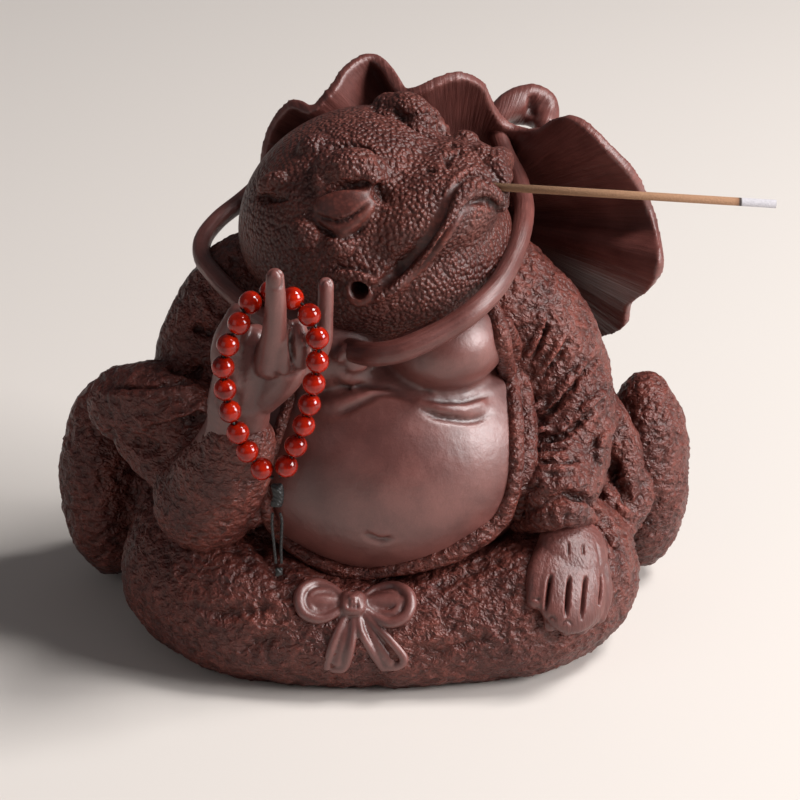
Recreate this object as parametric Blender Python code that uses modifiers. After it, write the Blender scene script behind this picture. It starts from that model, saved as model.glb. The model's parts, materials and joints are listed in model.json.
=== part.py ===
"""Tea pet: a clay toad in a rough robe, with a bead string on its hand and an incense stick in its mouth.

Run it with: blender --background --python part.py
The figure is drawn in millimetres and turned to metres at the end.
X runs to the right as one faces the figure, Y runs away to its back, and Z runs up from its base.
Outlines are drawn on a sheet of 800 by 800 units that is seen from the front and a little above.
"""

import math

import bmesh
import bpy
import numpy as np
from mathutils import Matrix, Vector
from mathutils.bvhtree import BVHTree

# Clear the scene
for old in list(bpy.data.objects):
    bpy.data.objects.remove(old)

# Size of the figure: its real width over its drawn width turns the drawing to metres
CLAY_WIDTH = 165.0
DRAWN_WIDTH = 165.0
MM = 0.001 * CLAY_WIDTH / DRAWN_WIDTH
GAP = 0.3

# The drawing sheet
SHEET_MIDDLE = 400.0
SHEET_UNIT = 0.254
SHEET_TILT = math.radians(25.0)
SHEET_POINT = Vector((5.6, 0.0, 58.3))
SHEET_DISTANCE = 800.0
AHEAD = Vector((0.0, math.cos(SHEET_TILT), -math.sin(SHEET_TILT)))
UPWARD = Vector((0.0, math.sin(SHEET_TILT), math.cos(SHEET_TILT)))
EYE = SHEET_POINT - SHEET_DISTANCE * AHEAD

# Grain of the clay
ROUGH_GRAIN = 1.7
FINE_GRAIN = 1.0
FACES_KEPT = 10800
KNOT_GRAIN = 0.35
KNOT_FACES = 300

# Hollow inside
WALL = 6.5
FLOOR = 6.0
HOLLOW_GRAIN = 5.0
HOLLOW_FACES = 700

# Robe, as rolls of clay: x, y, z and radius
TORSO = ((0.0, 8.0, 52.0), (48.0, 36.0, 46.0))
SEAT = ((0.0, 2.0, 14.0), (60.0, 44.0, 22.0))
SHOULDERS = ((-31.0, 4.0, 84.0, 17.0), (0.0, 8.0, 88.0, 20.0), (30.0, 4.0, 84.0, 17.0))
LEFT_LEG = ((-18, -6, 22, 22), (-44, -14, 19.5, 21.5), (-32, -31, 15.5, 18), (-6, -38, 12.5, 14))
RIGHT_LEG = ((20, -6, 22, 22), (45, -14, 19.5, 21), (37, -30, 16.5, 18.5), (6, -38, 12.5, 14))
RIGHT_SLEEVE = ((30, 2, 84, 16), (39, 1, 76, 16), (45, -4, 60, 15), (46, -14, 49, 12.5), (44, -26, 46, 10))
LEFT_SLEEVE = ((-31, 4, 86, 16), (-38, 2, 76, 16), (-43, -3, 62, 15), (-42, -16, 51, 15.5))
SLEEVE_BAG = ((-40, -18, 60, 10), (-54, -14, 64, 10.5), (-63, -8, 61, 10))
SLEEVE_LIP = ((-60, -14, 54, 6), (-45, -26, 47, 7), (-32, -31, 44, 6))
RIGHT_DROP = ((54, 4, 56, 7), (61, 0, 42, 7), (58, -8, 28, 6))
INNER_DROP = ((61, 0, 40, 5), (66, -1, 33, 5), (61, -8, 26, 5))
RIGHT_FLAP = ((69.5, 17.0, 30.0), (12.0, 16.0, 27.5))
LEFT_FLAP = ((-71.0, 15.0, 29.0), (12.5, 16.0, 27.5))
RIGHT_SKIRT = ((44, 20, 26, 22), (58, 20, 26, 19), (66, 19, 25, 14))
LEFT_SKIRT = ((-44, 20, 26, 22), (-58, 19, 26, 19), (-67, 17, 25, 14))
CUFF = ((520, 523, 2.6), (545, 518, 3.4), (572, 512, 3.9), (592, 516, 3.7), (604, 529, 3.2), (612, 543, 2.4))

# Skin: belly, breasts and neck
BELLY = ((3.0, -6.0, 50.0), (41.0, 39.0, 34.0))
RIGHT_BREAST = ((17.0, -19.0, 85.0), (17.0, 18.0, 12.5))
LEFT_BREAST = ((-13.0, -17.0, 84.0), (17.0, 17.0, 12.5))
NECK = ((0.0, -2.0, 78.0, 22.0), (0.0, -3.0, 96.0, 20.0))

# Head, in its own frame: ahead, left and up
HEAD_PLACE = Vector((1.0, -6.0, 110.0))
HEAD_AHEAD = Vector((0.81, -0.483, 0.336)).normalized()
HEAD_LEFT = Vector((0.45, 0.872, 0.166)).normalized()
HEAD_UP = HEAD_AHEAD.cross(HEAD_LEFT).normalized()
CRANIUM = ((-6.0, 0.0, 2.0), (30.0, 31.0, 26.0))
MUZZLE = ((12.0, 0.0, 2.5), (24.0, 24.0, 13.3))
THROAT = ((4.5, 0.0, -10.5), (25.5, 27.0, 20.0))
JOWL = ((0.0, -21.0, -6.0), (17.0, 10.0, 13.0))

# Things laid on the head: points on the sheet with a radius
BROW = ((325, 163, 2.2), (337, 163, 3.8), (351, 165, 4.6), (366, 170, 4.4), (378, 180, 2.6))
EYE_BALL = ((345, 199), (8.2, 4.6, 5.4))
LOWER_LID = ((315, 213, 0.9), (331, 224, 1.8), (344, 227, 2.1), (357, 220, 1.8), (371, 204, 0.9))
MOUTH = ((368, 293), (383, 284), (402, 267), (421, 247), (437, 222), (446, 203), (456, 186), (465, 177),
         (477, 176), (488, 182), (498, 188))
LIP_GROOVE = ((404, 286), (421, 269), (440, 244), (456, 223), (467, 208), (479, 202), (492, 204), (500, 215))
LIP = ((378, 297, 1.6), (394, 285, 2.4), (412, 267, 2.8), (431, 244, 3.0), (446, 222, 3.0), (456, 205, 3.0),
       (466, 192, 2.9), (478, 188, 2.8), (490, 193, 2.6), (501, 203, 2.2))
CHEEK_FOLD = ((329, 274, 1.2), (345, 273, 2.0), (362, 276, 1.8), (376, 282, 1.2))
HOLE_RIM = ((348, 287, 0.9), (350, 295, 1.2), (357, 301, 1.4), (366, 300, 1.2), (371, 293, 0.8))
WARTS = (((276, 185), (4.2, 2.0, 1.8)), ((311, 144), (3.6, 3.2, 1.6)), ((306, 235), (4.2, 3.6, 1.8)))
SNOUT_BUMPS = (((466, 138), (3.2, 3.0, 2.0)), ((484, 152), (2.6, 2.6, 1.8)), ((504, 175), (2.6, 2.8, 2.2)))

# Hat strap round the neck: sheet points, depth and radius
STRAP = ((268, 178, 33, 2.4), (243, 200, 28, 2.4), (218, 220, 20, 2.4), (203, 240, 10, 2.4),
         (203, 258, 1, 2.4), (213, 273, -7, 2.4), (231, 292, -16, 2.5), (262, 318, -26, 2.6),
         (300, 336, -27, 2.6), (336, 345, -28, 2.8), (362, 353, -36, 3.0), (380, 354, -41, 3.0),
         (407, 348, -42, 3.0), (445, 330, -39, 2.9), (474, 310, -35.5, 2.8), (497, 286, -28.5, 2.7),
         (514, 255, -18, 2.6), (522, 229, -9, 2.6), (524, 205, 3, 2.6), (518, 180, 14, 2.6),
         (505, 155, 25, 2.6), (498, 135, 32, 2.6))

# Lotus leaf hat hanging behind the head: sheet points and depth round the rim, then its middle and bowl
LEAF_RIM = ((256, 205, 30), (261, 180, 30), (262, 157, 30), (265, 136, 31), (272, 115, 32), (285, 98, 31),
            (295, 93, 29), (310, 100, 25), (321, 91, 26), (332, 79, 27), (347, 57, 33), (368, 46, 37),
            (385, 57, 34), (402, 81, 26), (420, 79, 24), (445, 68, 26), (465, 66, 28), (483, 76, 31),
            (493, 97, 35), (504, 113, 37), (520, 119, 36), (542, 117, 30), (565, 106, 22), (585, 115, 17),
            (608, 138, 13), (633, 165, 14), (648, 195, 20), (657, 222, 17), (660, 250, 9), (652, 274, 11),
            (629, 293, 25), (624, 314, 29), (598, 326, 37), (545, 332, 44), (450, 345, 46), (360, 330, 46),
            (290, 270, 40))
LEAF_MIDDLE = (455, 215, 44)
LEAF_BOWL = 7.0
LEAF_THICK = 2.8
LEAF_BACK_LOBE = ((499, 114, 37, 3.0), (510, 106, 39, 3.8), (524, 98, 41, 3.6), (536, 96, 42, 3.2),
                  (545, 102, 42, 3.2), (548, 114, 40, 3.2), (546, 126, 36, 3.4))
LEAF_BACK_ROLL = ((518, 112, 41, 3.4), (520, 124, 38, 4.0))

# Raised hand: sheet points, depth and radius
FOREARM = ((205, 500, -28, 12.0), (222, 465, -35, 9.5), (236, 430, -39, 8.0), (240, 400, -41, 8.2))
PALM = ((242, 392, -41, 8.2), (248, 368, -42, 8.0), (254, 348, -43, 6.0))
PALM_EDGE = ((262, 392, -43, 5.5), (280, 372, -44, 6.0), (292, 352, -45, 4.4))
INDEX = ((266, 358, -48, 4.6), (268, 330, -51.5, 3.7), (272.5, 305, -54.2, 2.9), (274.5, 277, -54.8, 2.25))
MIDDLE = ((284, 366, -50, 2.9), (282, 346, -51.2, 2.9), (279, 324, -50, 2.8))
RING = ((297, 360, -49, 2.5), (298, 342, -50.3, 2.5), (295, 328, -48.5, 2.5))
LITTLE = ((304, 368, -43, 3.2), (322, 345, -43, 2.4), (325, 315, -43, 2.1), (326, 285, -43, 2.0))
THUMB = ((236, 376, -45, 5.4), (229, 348, -45, 4.5), (239, 315, -45, 3.0))
FOREARM_SLEEVE = ((205, 500, -28, 13.0), (226, 470, -36, 11.0), (241, 443, -41, 8.4))
LEFT_HEM = ((140, 418, 1.8), (150, 424, 2.2), (168, 420, 2.4), (188, 414, 2.2), (207, 403, 1.8))

# Resting hand
HAND_PADS = (((573, 550), (9.3, 9.5, 5.0)), ((577, 586), (8.4, 10.0, 3.8)))
FINGERS = (
    ((562, 568, 3.4), (558, 600, 2.7), (550, 624, 2.2)),
    ((578, 570, 3.4), (575, 600, 2.7), (567, 628, 2.2)),
    ((593, 568, 3.4), (592, 600, 2.7), (582, 626, 2.2)),
    ((603, 562, 3.0), (605, 592, 2.5), (599, 616, 2.1)),
)
LOWER_THUMB = ((546, 545, 3.4), (536, 572, 2.9), (534, 600, 2.3))

# Bow at the waist
BOW_LOOPS = (
    ((346, 600, 1.0), (332, 588, 1.2), (316, 583, 1.4), (302, 590, 1.5), (299, 602, 1.5), (305, 614, 1.5),
     (320, 619, 1.4), (334, 614, 1.2), (346, 606, 1.0)),
    ((360, 600, 1.0), (374, 590, 1.2), (392, 586, 1.4), (407, 592, 1.5), (411, 604, 1.5), (405, 617, 1.5),
     (390, 623, 1.4), (374, 616, 1.2), (360, 606, 1.0)),
)
BOW_RINGS = (
    ((338, 601, 0.8), (328, 592, 0.9), (314, 593, 1.0), (309, 602, 1.0), (315, 612, 1.0), (328, 611, 0.9),
     (338, 603, 0.8)),
    ((368, 602, 0.8), (378, 595, 0.9), (393, 594, 1.0), (400, 603, 1.0), (393, 613, 1.0), (379, 612, 0.9),
     (368, 604, 0.8)),
)
BOW_FILLS = (
    ((340, 602, 1.6), (322, 602, 2.6), (306, 602, 2.2)),
    ((366, 603, 1.6), (384, 603, 2.6), (402, 604, 2.2)),
)
BOW_KNOT = ((348, 598, 1.9), (348, 608, 1.9), (358, 608, 1.9), (358, 598, 1.9), (353, 603, 2.4))
BOW_TAILS = (
    ((347, 613, 1.0), (338, 630, 1.1), (331, 648, 1.2), (327, 666, 1.2)),
    ((354, 613, 1.0), (353, 632, 1.1), (350, 650, 1.2), (344, 667, 1.2), (334, 669, 1.1)),
    ((358, 613, 1.0), (361, 632, 1.1), (371, 650, 1.2), (383, 667, 1.2)),
    ((363, 613, 1.0), (378, 628, 1.1), (392, 642, 1.2), (404, 658, 1.2), (398, 666, 1.1), (386, 667, 1.1)),
)
BOW_TAIL_FILLS = (
    ((350, 615, 1.2), (344, 638, 1.6), (338, 660, 1.8)),
    ((360, 615, 1.2), (376, 640, 1.6), (390, 660, 1.8)),
)

# Robe edge round the belly, and folds laid on the robe and the breast
ROBE_EDGE = ((494, 296, 1.6), (499, 330, 1.7), (507, 362, 1.8), (513, 410, 1.9), (518, 455, 2.0),
             (515, 495, 2.0), (504, 523, 1.9), (480, 545, 1.8), (450, 557, 1.7), (420, 566, 1.7),
             (392, 570, 1.7), (366, 574, 1.8), (342, 573, 1.8), (318, 563, 1.8), (297, 550, 1.8),
             (280, 535, 1.8), (267, 512, 1.8), (264, 485, 1.8), (272, 452, 1.7), (283, 420, 1.6),
             (291, 392, 1.5))
CHEST_FOLDS = (
    ((334, 360, 1.2), (346, 377, 1.5), (366, 377, 1.5), (380, 373, 1.4), (395, 382, 1.0)),
    ((322, 405, 1.2), (347, 402, 1.6), (373, 395, 1.4), (392, 396, 0.9)),
    ((420, 403, 1.2), (438, 408, 1.8), (460, 410, 1.8), (482, 403, 1.2)),
)
CHEST_KNOT = ((342, 352, 2.4), (352, 350, 2.6), (358, 362, 2.2))

# Strokes of a tool: sheet points, width and height, below zero for a groove.
# Strokes lower than the least one are too fine for the solid.
LEAST_STROKE = 0.8
FACE_STROKES = (
    (MOUTH, 1.7, -2.3),
    (((440, 205), (450, 186), (461, 174), (475, 171), (487, 176)), 0.8, 0.8),
    (LIP_GROOVE, 1.2, -1.7),
    (((330, 269), (345, 267), (364, 270), (378, 276)), 0.6, -0.9),
    (((259, 194), (276, 196), (292, 193)), 0.5, -0.8),
)
EYE_STROKES = (
    (((313, 208), (325, 215), (337, 218), (349, 215), (361, 206), (375, 197)), 0.5, -1.2),
    (((314, 217), (328, 231), (344, 236), (359, 230), (373, 210)), 0.6, -1.1),
    (((317, 200), (322, 190), (334, 181), (350, 179), (366, 182), (379, 190)), 0.6, -1.5),
    (((423, 174), (430, 169), (437, 172)), 0.5, -0.6),
    (((445, 156), (446, 162), (447, 168)), 0.6, -1.0),
)
SKIN_STROKES = (
    (((364, 531), (371, 537), (382, 541), (393, 536)), 0.8, -1.1),
    (((366, 527), (380, 532), (392, 531)), 1.6, 0.3),
    (((416, 400), (440, 401), (468, 400), (494, 393)), 0.6, -0.9),
    (((416, 405), (434, 415), (452, 419), (473, 420), (494, 413)), 0.8, -1.3),
    (((322, 416), (342, 412), (363, 402), (380, 394), (397, 395), (416, 404)), 0.9, -1.1),
    (((335, 380), (344, 387), (366, 386), (387, 388), (408, 394)), 0.7, -1.0),
)
ROBE_STROKES = (
    (((202, 614), (229, 615), (255, 610), (279, 607)), 1.6, -1.5),
    (((237, 653), (262, 643), (287, 634)), 1.6, -1.3),
    (((406, 653), (442, 650), (474, 641), (492, 636)), 1.6, -1.2),
    (((426, 590), (459, 576), (499, 556)), 1.6, -1.3),
    (((254, 530), (264, 551), (280, 571), (300, 584)), 2.2, -2.5),
)
RIGHT_FOLDS = (
    (((543, 306), (541, 328), (532, 346), (524, 362)), 1.1, -1.5),
    (((537, 303), (534, 326), (526, 344)), 1.1, 0.9),
    (((565, 328), (552, 353), (537, 374)), 1.2, 1.4),
    (((570, 333), (557, 358), (543, 378)), 1.1, -1.2),
    (((596, 348), (580, 372), (558, 394), (533, 411), (521, 417)), 1.2, 2.0),
    (((601, 355), (586, 379), (564, 401), (538, 418), (524, 424)), 1.3, -2.2),
    (((613, 381), (593, 406), (569, 425), (541, 435), (526, 436)), 1.2, 2.0),
    (((617, 390), (598, 414), (573, 433), (544, 443)), 1.3, -2.0),
    (((541, 448), (556, 449), (571, 446)), 0.9, -1.0),
    (((531, 463), (555, 464), (580, 461)), 0.9, -1.0),
    (((562, 472), (577, 475), (592, 474)), 0.9, -0.9),
    (((619, 420), (605, 441), (600, 461), (608, 485), (622, 503)), 2.0, -3.6),
    (((535, 507), (550, 498), (569, 494), (588, 499), (603, 511), (616, 528)), 1.0, -1.9),
)
LEFT_FOLDS = (
    (((196, 287), (206, 306), (218, 329)), 1.4, 1.0),
    (((168, 311), (190, 324), (213, 338)), 1.5, -2.2),
    (((146, 358), (168, 367), (188, 371), (209, 371)), 1.6, -2.8),
    (((104, 387), (129, 389), (155, 387), (178, 383), (207, 380)), 1.0, -1.4),
    (((103, 396), (119, 393), (150, 394), (180, 391), (206, 388)), 1.6, 1.0),
    (((144, 431), (168, 428), (190, 422), (210, 411)), 1.8, -2.6),
)
HAND_STROKES = (
    (((289, 328), (290, 346), (292, 364)), 0.7, -1.3),
    (((269, 300), (272, 294), (277, 300)), 0.5, -0.4),
    (((272, 372), (288, 376), (303, 370)), 0.7, -0.6),
)
SLOTS = (
    (((551, 572), (547, 592), (545, 614)), 0.7, -2.4),
    (((571, 575), (568, 596), (565, 620)), 0.65, -2.4),
    (((586, 574), (582, 598), (578, 625)), 0.65, -2.4),
    (((601, 572), (602, 590), (595, 620)), 0.65, -2.2),
    (((568, 546), (569, 561)), 0.5, -0.5),
    (((582, 542), (584, 557)), 0.5, -0.5),
)

# Holes
MOUTH_HOLE = (359, 290)
MOUTH_BORE = 4.6
MOUTH_DEPTH = 14.0
STICK_SPOT = (499, 187)
STICK_FAR = (776, 204)
STICK_WIDTH = 2.0
STICK_ROOM = 0.6
STICK_INSERT = 12.0
VENT_WIDTH = 3.4
VENT_PLACE = (14.0, 10.0)

# Bead string: sheet points and depth, from the knot round and back to it
STRING = ((278.5, 477.5, -53), (288, 463, -53), (304, 424, -53), (315, 378, -54), (318, 350, -54),
          (315, 326, -53), (303, 307, -51), (288, 296, -48.6), (270, 292, -46.8), (252.5, 300, -49),
          (241, 320, -52.6), (229, 342, -54), (223, 366, -54), (225, 390, -54), (230, 412, -54),
          (238, 433, -54), (249, 454, -53), (262, 469, -53), (273.5, 477.5, -53))
BEAD_COUNT = 19
BEAD_WIDTH = 5.5
BEAD_BORE = 1.6
STRING_WIDTH = 0.7
THREADED = 0.47
BEAD_SIDES = 12
KNOT_ROOM = 3.6
TASSEL_KNOT = ((277, 486.5, -53), (278.5, 495, -53), (276.5, 504, -53))
TASSEL_KNOT_WIDTH = 3.0
TASSEL_TAILS = (((272.5, 513, -53), (272, 525, -53), (274, 544, -53), (276, 563, -53)),
                ((280, 513, -53), (282, 522, -53), (281, 546, -53), (281.5, 563, -53)))
TASSEL_END = ((279, 569.5, -53), (279, 574, -53))
TASSEL_END_WIDTH = 2.0


def sight(px, py):
    """Direction from the eye through a point of the sheet."""
    across = (px - SHEET_MIDDLE) * SHEET_UNIT
    up = (SHEET_MIDDLE - py) * SHEET_UNIT
    return (SHEET_DISTANCE * AHEAD + Vector((across, 0, 0)) + up * UPWARD).normalized()


def spot(px, py, depth):
    """The point seen at a place of the sheet that lies at the given depth, its Y."""
    ray = sight(px, py)
    return EYE + ray * ((depth - EYE.y) / ray.y)


def spots(rows):
    return [(*spot(*row[:3]), *row[3:]) for row in rows]


def ball(bm, centre, radii, frame=Matrix.Identity(4), detail=3):
    """Adds an egg of clay."""
    place = frame @ Matrix.Translation(centre) @ Matrix.Diagonal((*radii, 1.0))
    bmesh.ops.create_icosphere(bm, subdivisions=detail, radius=1.0, matrix=place)


def smooth_path(points, spacing):
    """Points spread along a smooth curve through the given ones, which may carry more values than a place."""
    points = np.array(points, float)
    padded = np.vstack([2 * points[0] - points[1], points, 2 * points[-1] - points[-2]])
    rows = []
    for i in range(1, len(padded) - 2):
        p0, p1, p2, p3 = padded[i - 1 : i + 3]
        count = max(2, int(np.linalg.norm(p2[:3] - p1[:3]) / spacing) + 1)
        t = np.linspace(0, 1, count, endpoint=False)[:, None]
        bend = (2 * p0 - 5 * p1 + 4 * p2 - p3) * t**2 + (3 * p1 - p0 - 3 * p2 + p3) * t**3
        rows.append(p1 + 0.5 * ((p2 - p0) * t + bend))
    return np.vstack([*rows, points[-1:]])


def add(bm, piece):
    """Puts one bmesh into another."""
    mesh = bpy.data.meshes.new("piece")
    piece.to_mesh(mesh)
    piece.free()
    bm.from_mesh(mesh)
    bpy.data.meshes.remove(mesh)


def limb(bm, stations):
    """Adds a rounded roll of clay through stations, each a place and the radius there."""
    roll = bmesh.new()
    for station in smooth_path(stations, min(s[3] for s in stations) * 0.4):
        ball(roll, station[:3], (station[3],) * 3, detail=2)
    add(bm, roll)


def make(name, bm):
    """Turns a bmesh into an object in the scene."""
    mesh = bpy.data.meshes.new(name)
    bm.to_mesh(mesh)
    bm.free()
    obj = bpy.data.objects.new(name, mesh)
    bpy.context.scene.collection.objects.link(obj)
    return obj


def settle(obj):
    """Replaces an object's mesh by what its modifiers make of it."""
    bpy.context.view_layer.update()
    graph = bpy.context.evaluated_depsgraph_get()
    mesh = bpy.data.meshes.new_from_object(obj.evaluated_get(graph))
    obj.modifiers.clear()
    obj.data = mesh
    return obj


def knead(obj, grain, passes):
    """Fuses overlapping lumps into one skin and softens the joins between them."""
    fuse = obj.modifiers.new("fuse", "REMESH")
    fuse.mode = "VOXEL"
    fuse.voxel_size = grain
    soften = obj.modifiers.new("soften", "SMOOTH")
    soften.factor = 0.5
    soften.iterations = passes
    return settle(obj)


def tree_of(obj):
    bpy.context.view_layer.update()
    return BVHTree.FromObject(obj, bpy.context.evaluated_depsgraph_get())


def traced(tree, points, sink=0.0):
    """Where sheet points fall on the clay, each with the values it carries."""
    found = []
    for point in points:
        hit, normal, _, _ = tree.ray_cast(EYE, sight(*point[:2]))
        if hit is not None:
            found.append((*(hit - normal * sink), *point[2:]))
    return found


def lay(bm, tree, points, sink=0.35, mirror=None):
    """Lays a roll of clay on the surface along a line of the sheet."""
    stations = traced(tree, points)
    stations = [(*(Vector(s[:3]) - (EYE - Vector(s[:3])).normalized() * s[3] * sink), s[3]) for s in stations]
    limb(bm, stations)
    if mirror:
        limb(bm, [(*(mirror @ Vector(s[:3])), s[3]) for s in stations])


def pad(bm, tree, px, py, radii):
    """Lays an egg of clay on the surface: its reach across, along and out of it."""
    hit, out, _, _ = tree.ray_cast(EYE, sight(px, py))
    across = (Vector((1, 0, 0)) - out * out.x).normalized()
    frame = Matrix((across, out.cross(across), out)).transposed().to_4x4()
    ball(bm, (0, 0, 0), radii, frame=Matrix.Translation(hit) @ frame)


def clay_arrays(obj):
    places = np.empty(len(obj.data.vertices) * 3, np.float32)
    obj.data.vertices.foreach_get("co", places)
    normals = np.empty(len(obj.data.vertices) * 3, np.float32)
    obj.data.vertex_normals.foreach_get("vector", normals)
    return places.reshape(-1, 3).astype(float), normals.reshape(-1, 3).astype(float)


def stroke(obj, path, width, height, taper=0.25):
    """Draws a tool along a path: a positive height raises a ridge, a negative one presses a groove."""
    path = smooth_path(path, width * 0.4)[:, :3]
    places, normals = clay_arrays(obj)
    reach = 2.6 * width
    near = np.flatnonzero(((places > path.min(0) - reach) & (places < path.max(0) + reach)).all(1))
    along = np.linspace(0, 1, len(path))
    ends = np.clip(np.minimum(along, 1 - along) / taper, 0, 1)
    for block in np.array_split(near, len(near) // 4000 + 1):
        gaps = places[block][:, None, :] - path[None, :, :]
        distance = np.einsum("ijk,ijk->ij", gaps, gaps)
        nearest = distance.argmin(1)
        far = np.sqrt(distance[np.arange(len(block)), nearest]) / width
        places[block] += normals[block] * (height * np.exp(-far * far) * ends[nearest])[:, None]
    obj.data.vertices.foreach_set("co", places.astype(np.float32).ravel())
    obj.data.update()


def strokes(obj, rows, mirror=None):
    """Draws several lines of the sheet on the clay, each with a width and a height."""
    tree = tree_of(obj)
    for line, width, height in rows:
        path = [Vector(place[:3]) for place in traced(tree, line)]
        if len(path) < 2 or abs(height) < LEAST_STROKE:
            continue
        stroke(obj, path, max(width, FINE_GRAIN), height)
        if mirror:
            stroke(obj, [mirror @ place for place in path], max(width, FINE_GRAIN), height)


def head_frame():
    axes = Matrix((HEAD_AHEAD, HEAD_LEFT, HEAD_UP)).transposed().to_4x4()
    return Matrix.Translation(HEAD_PLACE) @ axes


def head_mirror():
    """Reflects the near side of the head to its far side."""
    frame = head_frame()
    return frame @ Matrix.Diagonal((1, -1, 1, 1)) @ frame.inverted()


def shape_lumps():
    """The main masses, before any detail is laid on them."""
    bm = bmesh.new()
    for egg in (TORSO, SEAT, BELLY, RIGHT_BREAST, LEFT_BREAST, RIGHT_FLAP, LEFT_FLAP):
        ball(bm, *egg, detail=4)
    legs = (LEFT_LEG, RIGHT_LEG, LEFT_SKIRT, RIGHT_SKIRT)
    sleeves = (SHOULDERS, RIGHT_SLEEVE, LEFT_SLEEVE, SLEEVE_BAG, SLEEVE_LIP, RIGHT_DROP, INNER_DROP)
    for roll in (*legs, *sleeves, NECK):
        limb(bm, roll)
    for egg in (CRANIUM, MUZZLE, THROAT):
        ball(bm, *egg, frame=head_frame(), detail=4)
    ball(bm, *JOWL, frame=head_frame())
    ball(bm, *JOWL, frame=head_mirror() @ head_frame())
    return knead(make("lumps", bm), ROUGH_GRAIN, 4)


def shape_leaf(bm):
    """The hat: a thin wavy bowl between its middle and its rim."""
    rim = smooth_path([*spots(LEAF_RIM), spots(LEAF_RIM)[0]], 2.4)[:-1]
    middle = np.array(spot(*LEAF_MIDDLE))
    rings = 14
    disc = bmesh.new()
    centre = disc.verts.new(middle)
    rows = []
    for ring in range(1, rings + 1):
        share = ring / rings
        drop = np.array((0.0, LEAF_BOWL * share**2, 0.0))
        rows.append([disc.verts.new(middle + (edge - middle) * share - drop) for edge in rim])
    count = len(rim)
    for i in range(count):
        j = (i + 1) % count
        disc.faces.new((centre, rows[0][i], rows[0][j]))
        for inner, outer in zip(rows, rows[1:]):
            disc.faces.new((inner[i], outer[i], outer[j], inner[j]))
    leaf = make("leaf", disc)
    thick = leaf.modifiers.new("thick", "SOLIDIFY")
    thick.thickness = LEAF_THICK
    thick.offset = 0
    settle(leaf)
    bm.from_mesh(leaf.data)
    bpy.data.objects.remove(leaf)
    limb(bm, spots(LEAF_BACK_LOBE))
    limb(bm, spots(LEAF_BACK_ROLL))


def shape_hands(bm, tree):
    for roll in (FOREARM_SLEEVE, FOREARM, PALM, PALM_EDGE, INDEX, MIDDLE, RING, LITTLE, THUMB):
        limb(bm, spots(roll))
    for roll in (CUFF, LEFT_HEM):
        lay(bm, tree, roll, sink=0.0)
    for place, radii in HAND_PADS:
        pad(bm, tree, *place, radii)
    for roll in (LOWER_THUMB, *FINGERS):
        lay(bm, tree, roll, sink=-0.3)


def shape_face(bm, tree):
    mirror = head_mirror()
    lay(bm, tree, BROW, sink=0.25, mirror=mirror)
    lay(bm, tree, LOWER_LID, sink=0.1, mirror=mirror)
    lay(bm, tree, LIP, sink=0.15, mirror=mirror)
    lay(bm, tree, CHEEK_FOLD, sink=0.3, mirror=mirror)
    ball_at = traced(tree, (EYE_BALL[0],), sink=1.6)[0]
    turned = head_frame().to_3x3().to_4x4()
    ball(bm, (0, 0, 0), EYE_BALL[1], frame=Matrix.Translation(ball_at) @ turned)
    ball(bm, (0, 0, 0), EYE_BALL[1], frame=Matrix.Translation(mirror @ Vector(ball_at)) @ turned)
    lay(bm, tree, HOLE_RIM, sink=0.1)
    for place, radii in (*WARTS, *SNOUT_BUMPS):
        pad(bm, tree, *place, radii)


def shape_figure():
    """The whole figure as one skin."""
    lumps = shape_lumps()
    tree = tree_of(lumps)
    bm = bmesh.new()
    bm.from_mesh(lumps.data)
    shape_face(bm, tree)
    shape_leaf(bm)
    shape_hands(bm, tree)
    limb(bm, spots(STRAP))
    lay(bm, tree, ROBE_EDGE, sink=-0.1)
    for fold in (*CHEST_FOLDS, CHEST_KNOT):
        lay(bm, tree, fold, sink=0.3)
    for roll in (*BOW_LOOPS, *BOW_RINGS, BOW_KNOT):
        lay(bm, tree, roll, sink=-0.6)
    for roll in BOW_TAILS:
        lay(bm, tree, roll, sink=-0.3)
    for roll in (*BOW_FILLS, *BOW_TAIL_FILLS):
        lay(bm, tree, roll, sink=0.3)
    bpy.data.objects.remove(lumps)
    figure = knead(make("clay_toad", bm), FINE_GRAIN, 2)
    strokes(figure, (*FACE_STROKES, *SKIN_STROKES, *ROBE_STROKES, *RIGHT_FOLDS, *LEFT_FOLDS))
    strokes(figure, (*HAND_STROKES, *SLOTS))
    strokes(figure, EYE_STROKES, mirror=head_mirror())
    return figure


def biggest_body(obj):
    """Keeps the outer skin and drops the small hollows closed up inside it."""
    bm = bmesh.new()
    bm.from_mesh(obj.data)
    left = set(bm.verts)
    bodies = []
    while left:
        body = [left.pop()]
        for vert in body:
            fresh = {edge.other_vert(vert) for edge in vert.link_edges} & left
            left -= fresh
            body.extend(fresh)
        bodies.append(body)
    bodies.sort(key=len)
    bmesh.ops.delete(bm, geom=[vert for body in bodies[:-1] for vert in body], context="VERTS")
    bm.to_mesh(obj.data)
    bm.free()


def cut_level(obj, height):
    """Cuts an object off flat at a height and closes the cut."""
    bm = bmesh.new()
    bm.from_mesh(obj.data)
    everything = [*bm.verts, *bm.edges, *bm.faces]
    down = Vector((0, 0, -1))
    bmesh.ops.bisect_plane(bm, geom=everything, plane_co=-height * down, plane_no=down, clear_outer=True)
    rim = [edge for edge in bm.edges if edge.is_boundary]
    bmesh.ops.holes_fill(bm, edges=rim, sides=0)
    bmesh.ops.triangulate(bm, faces=[face for face in bm.faces if len(face.verts) > 4])
    bm.to_mesh(obj.data)
    bm.free()


def thin_out(obj, faces):
    """Keeps about the given number of triangles, most of them where the form bends."""
    obj.data.calc_loop_triangles()
    thin = obj.modifiers.new("thin", "DECIMATE")
    thin.ratio = min(1.0, faces / len(obj.data.loop_triangles))
    return settle(obj)


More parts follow.
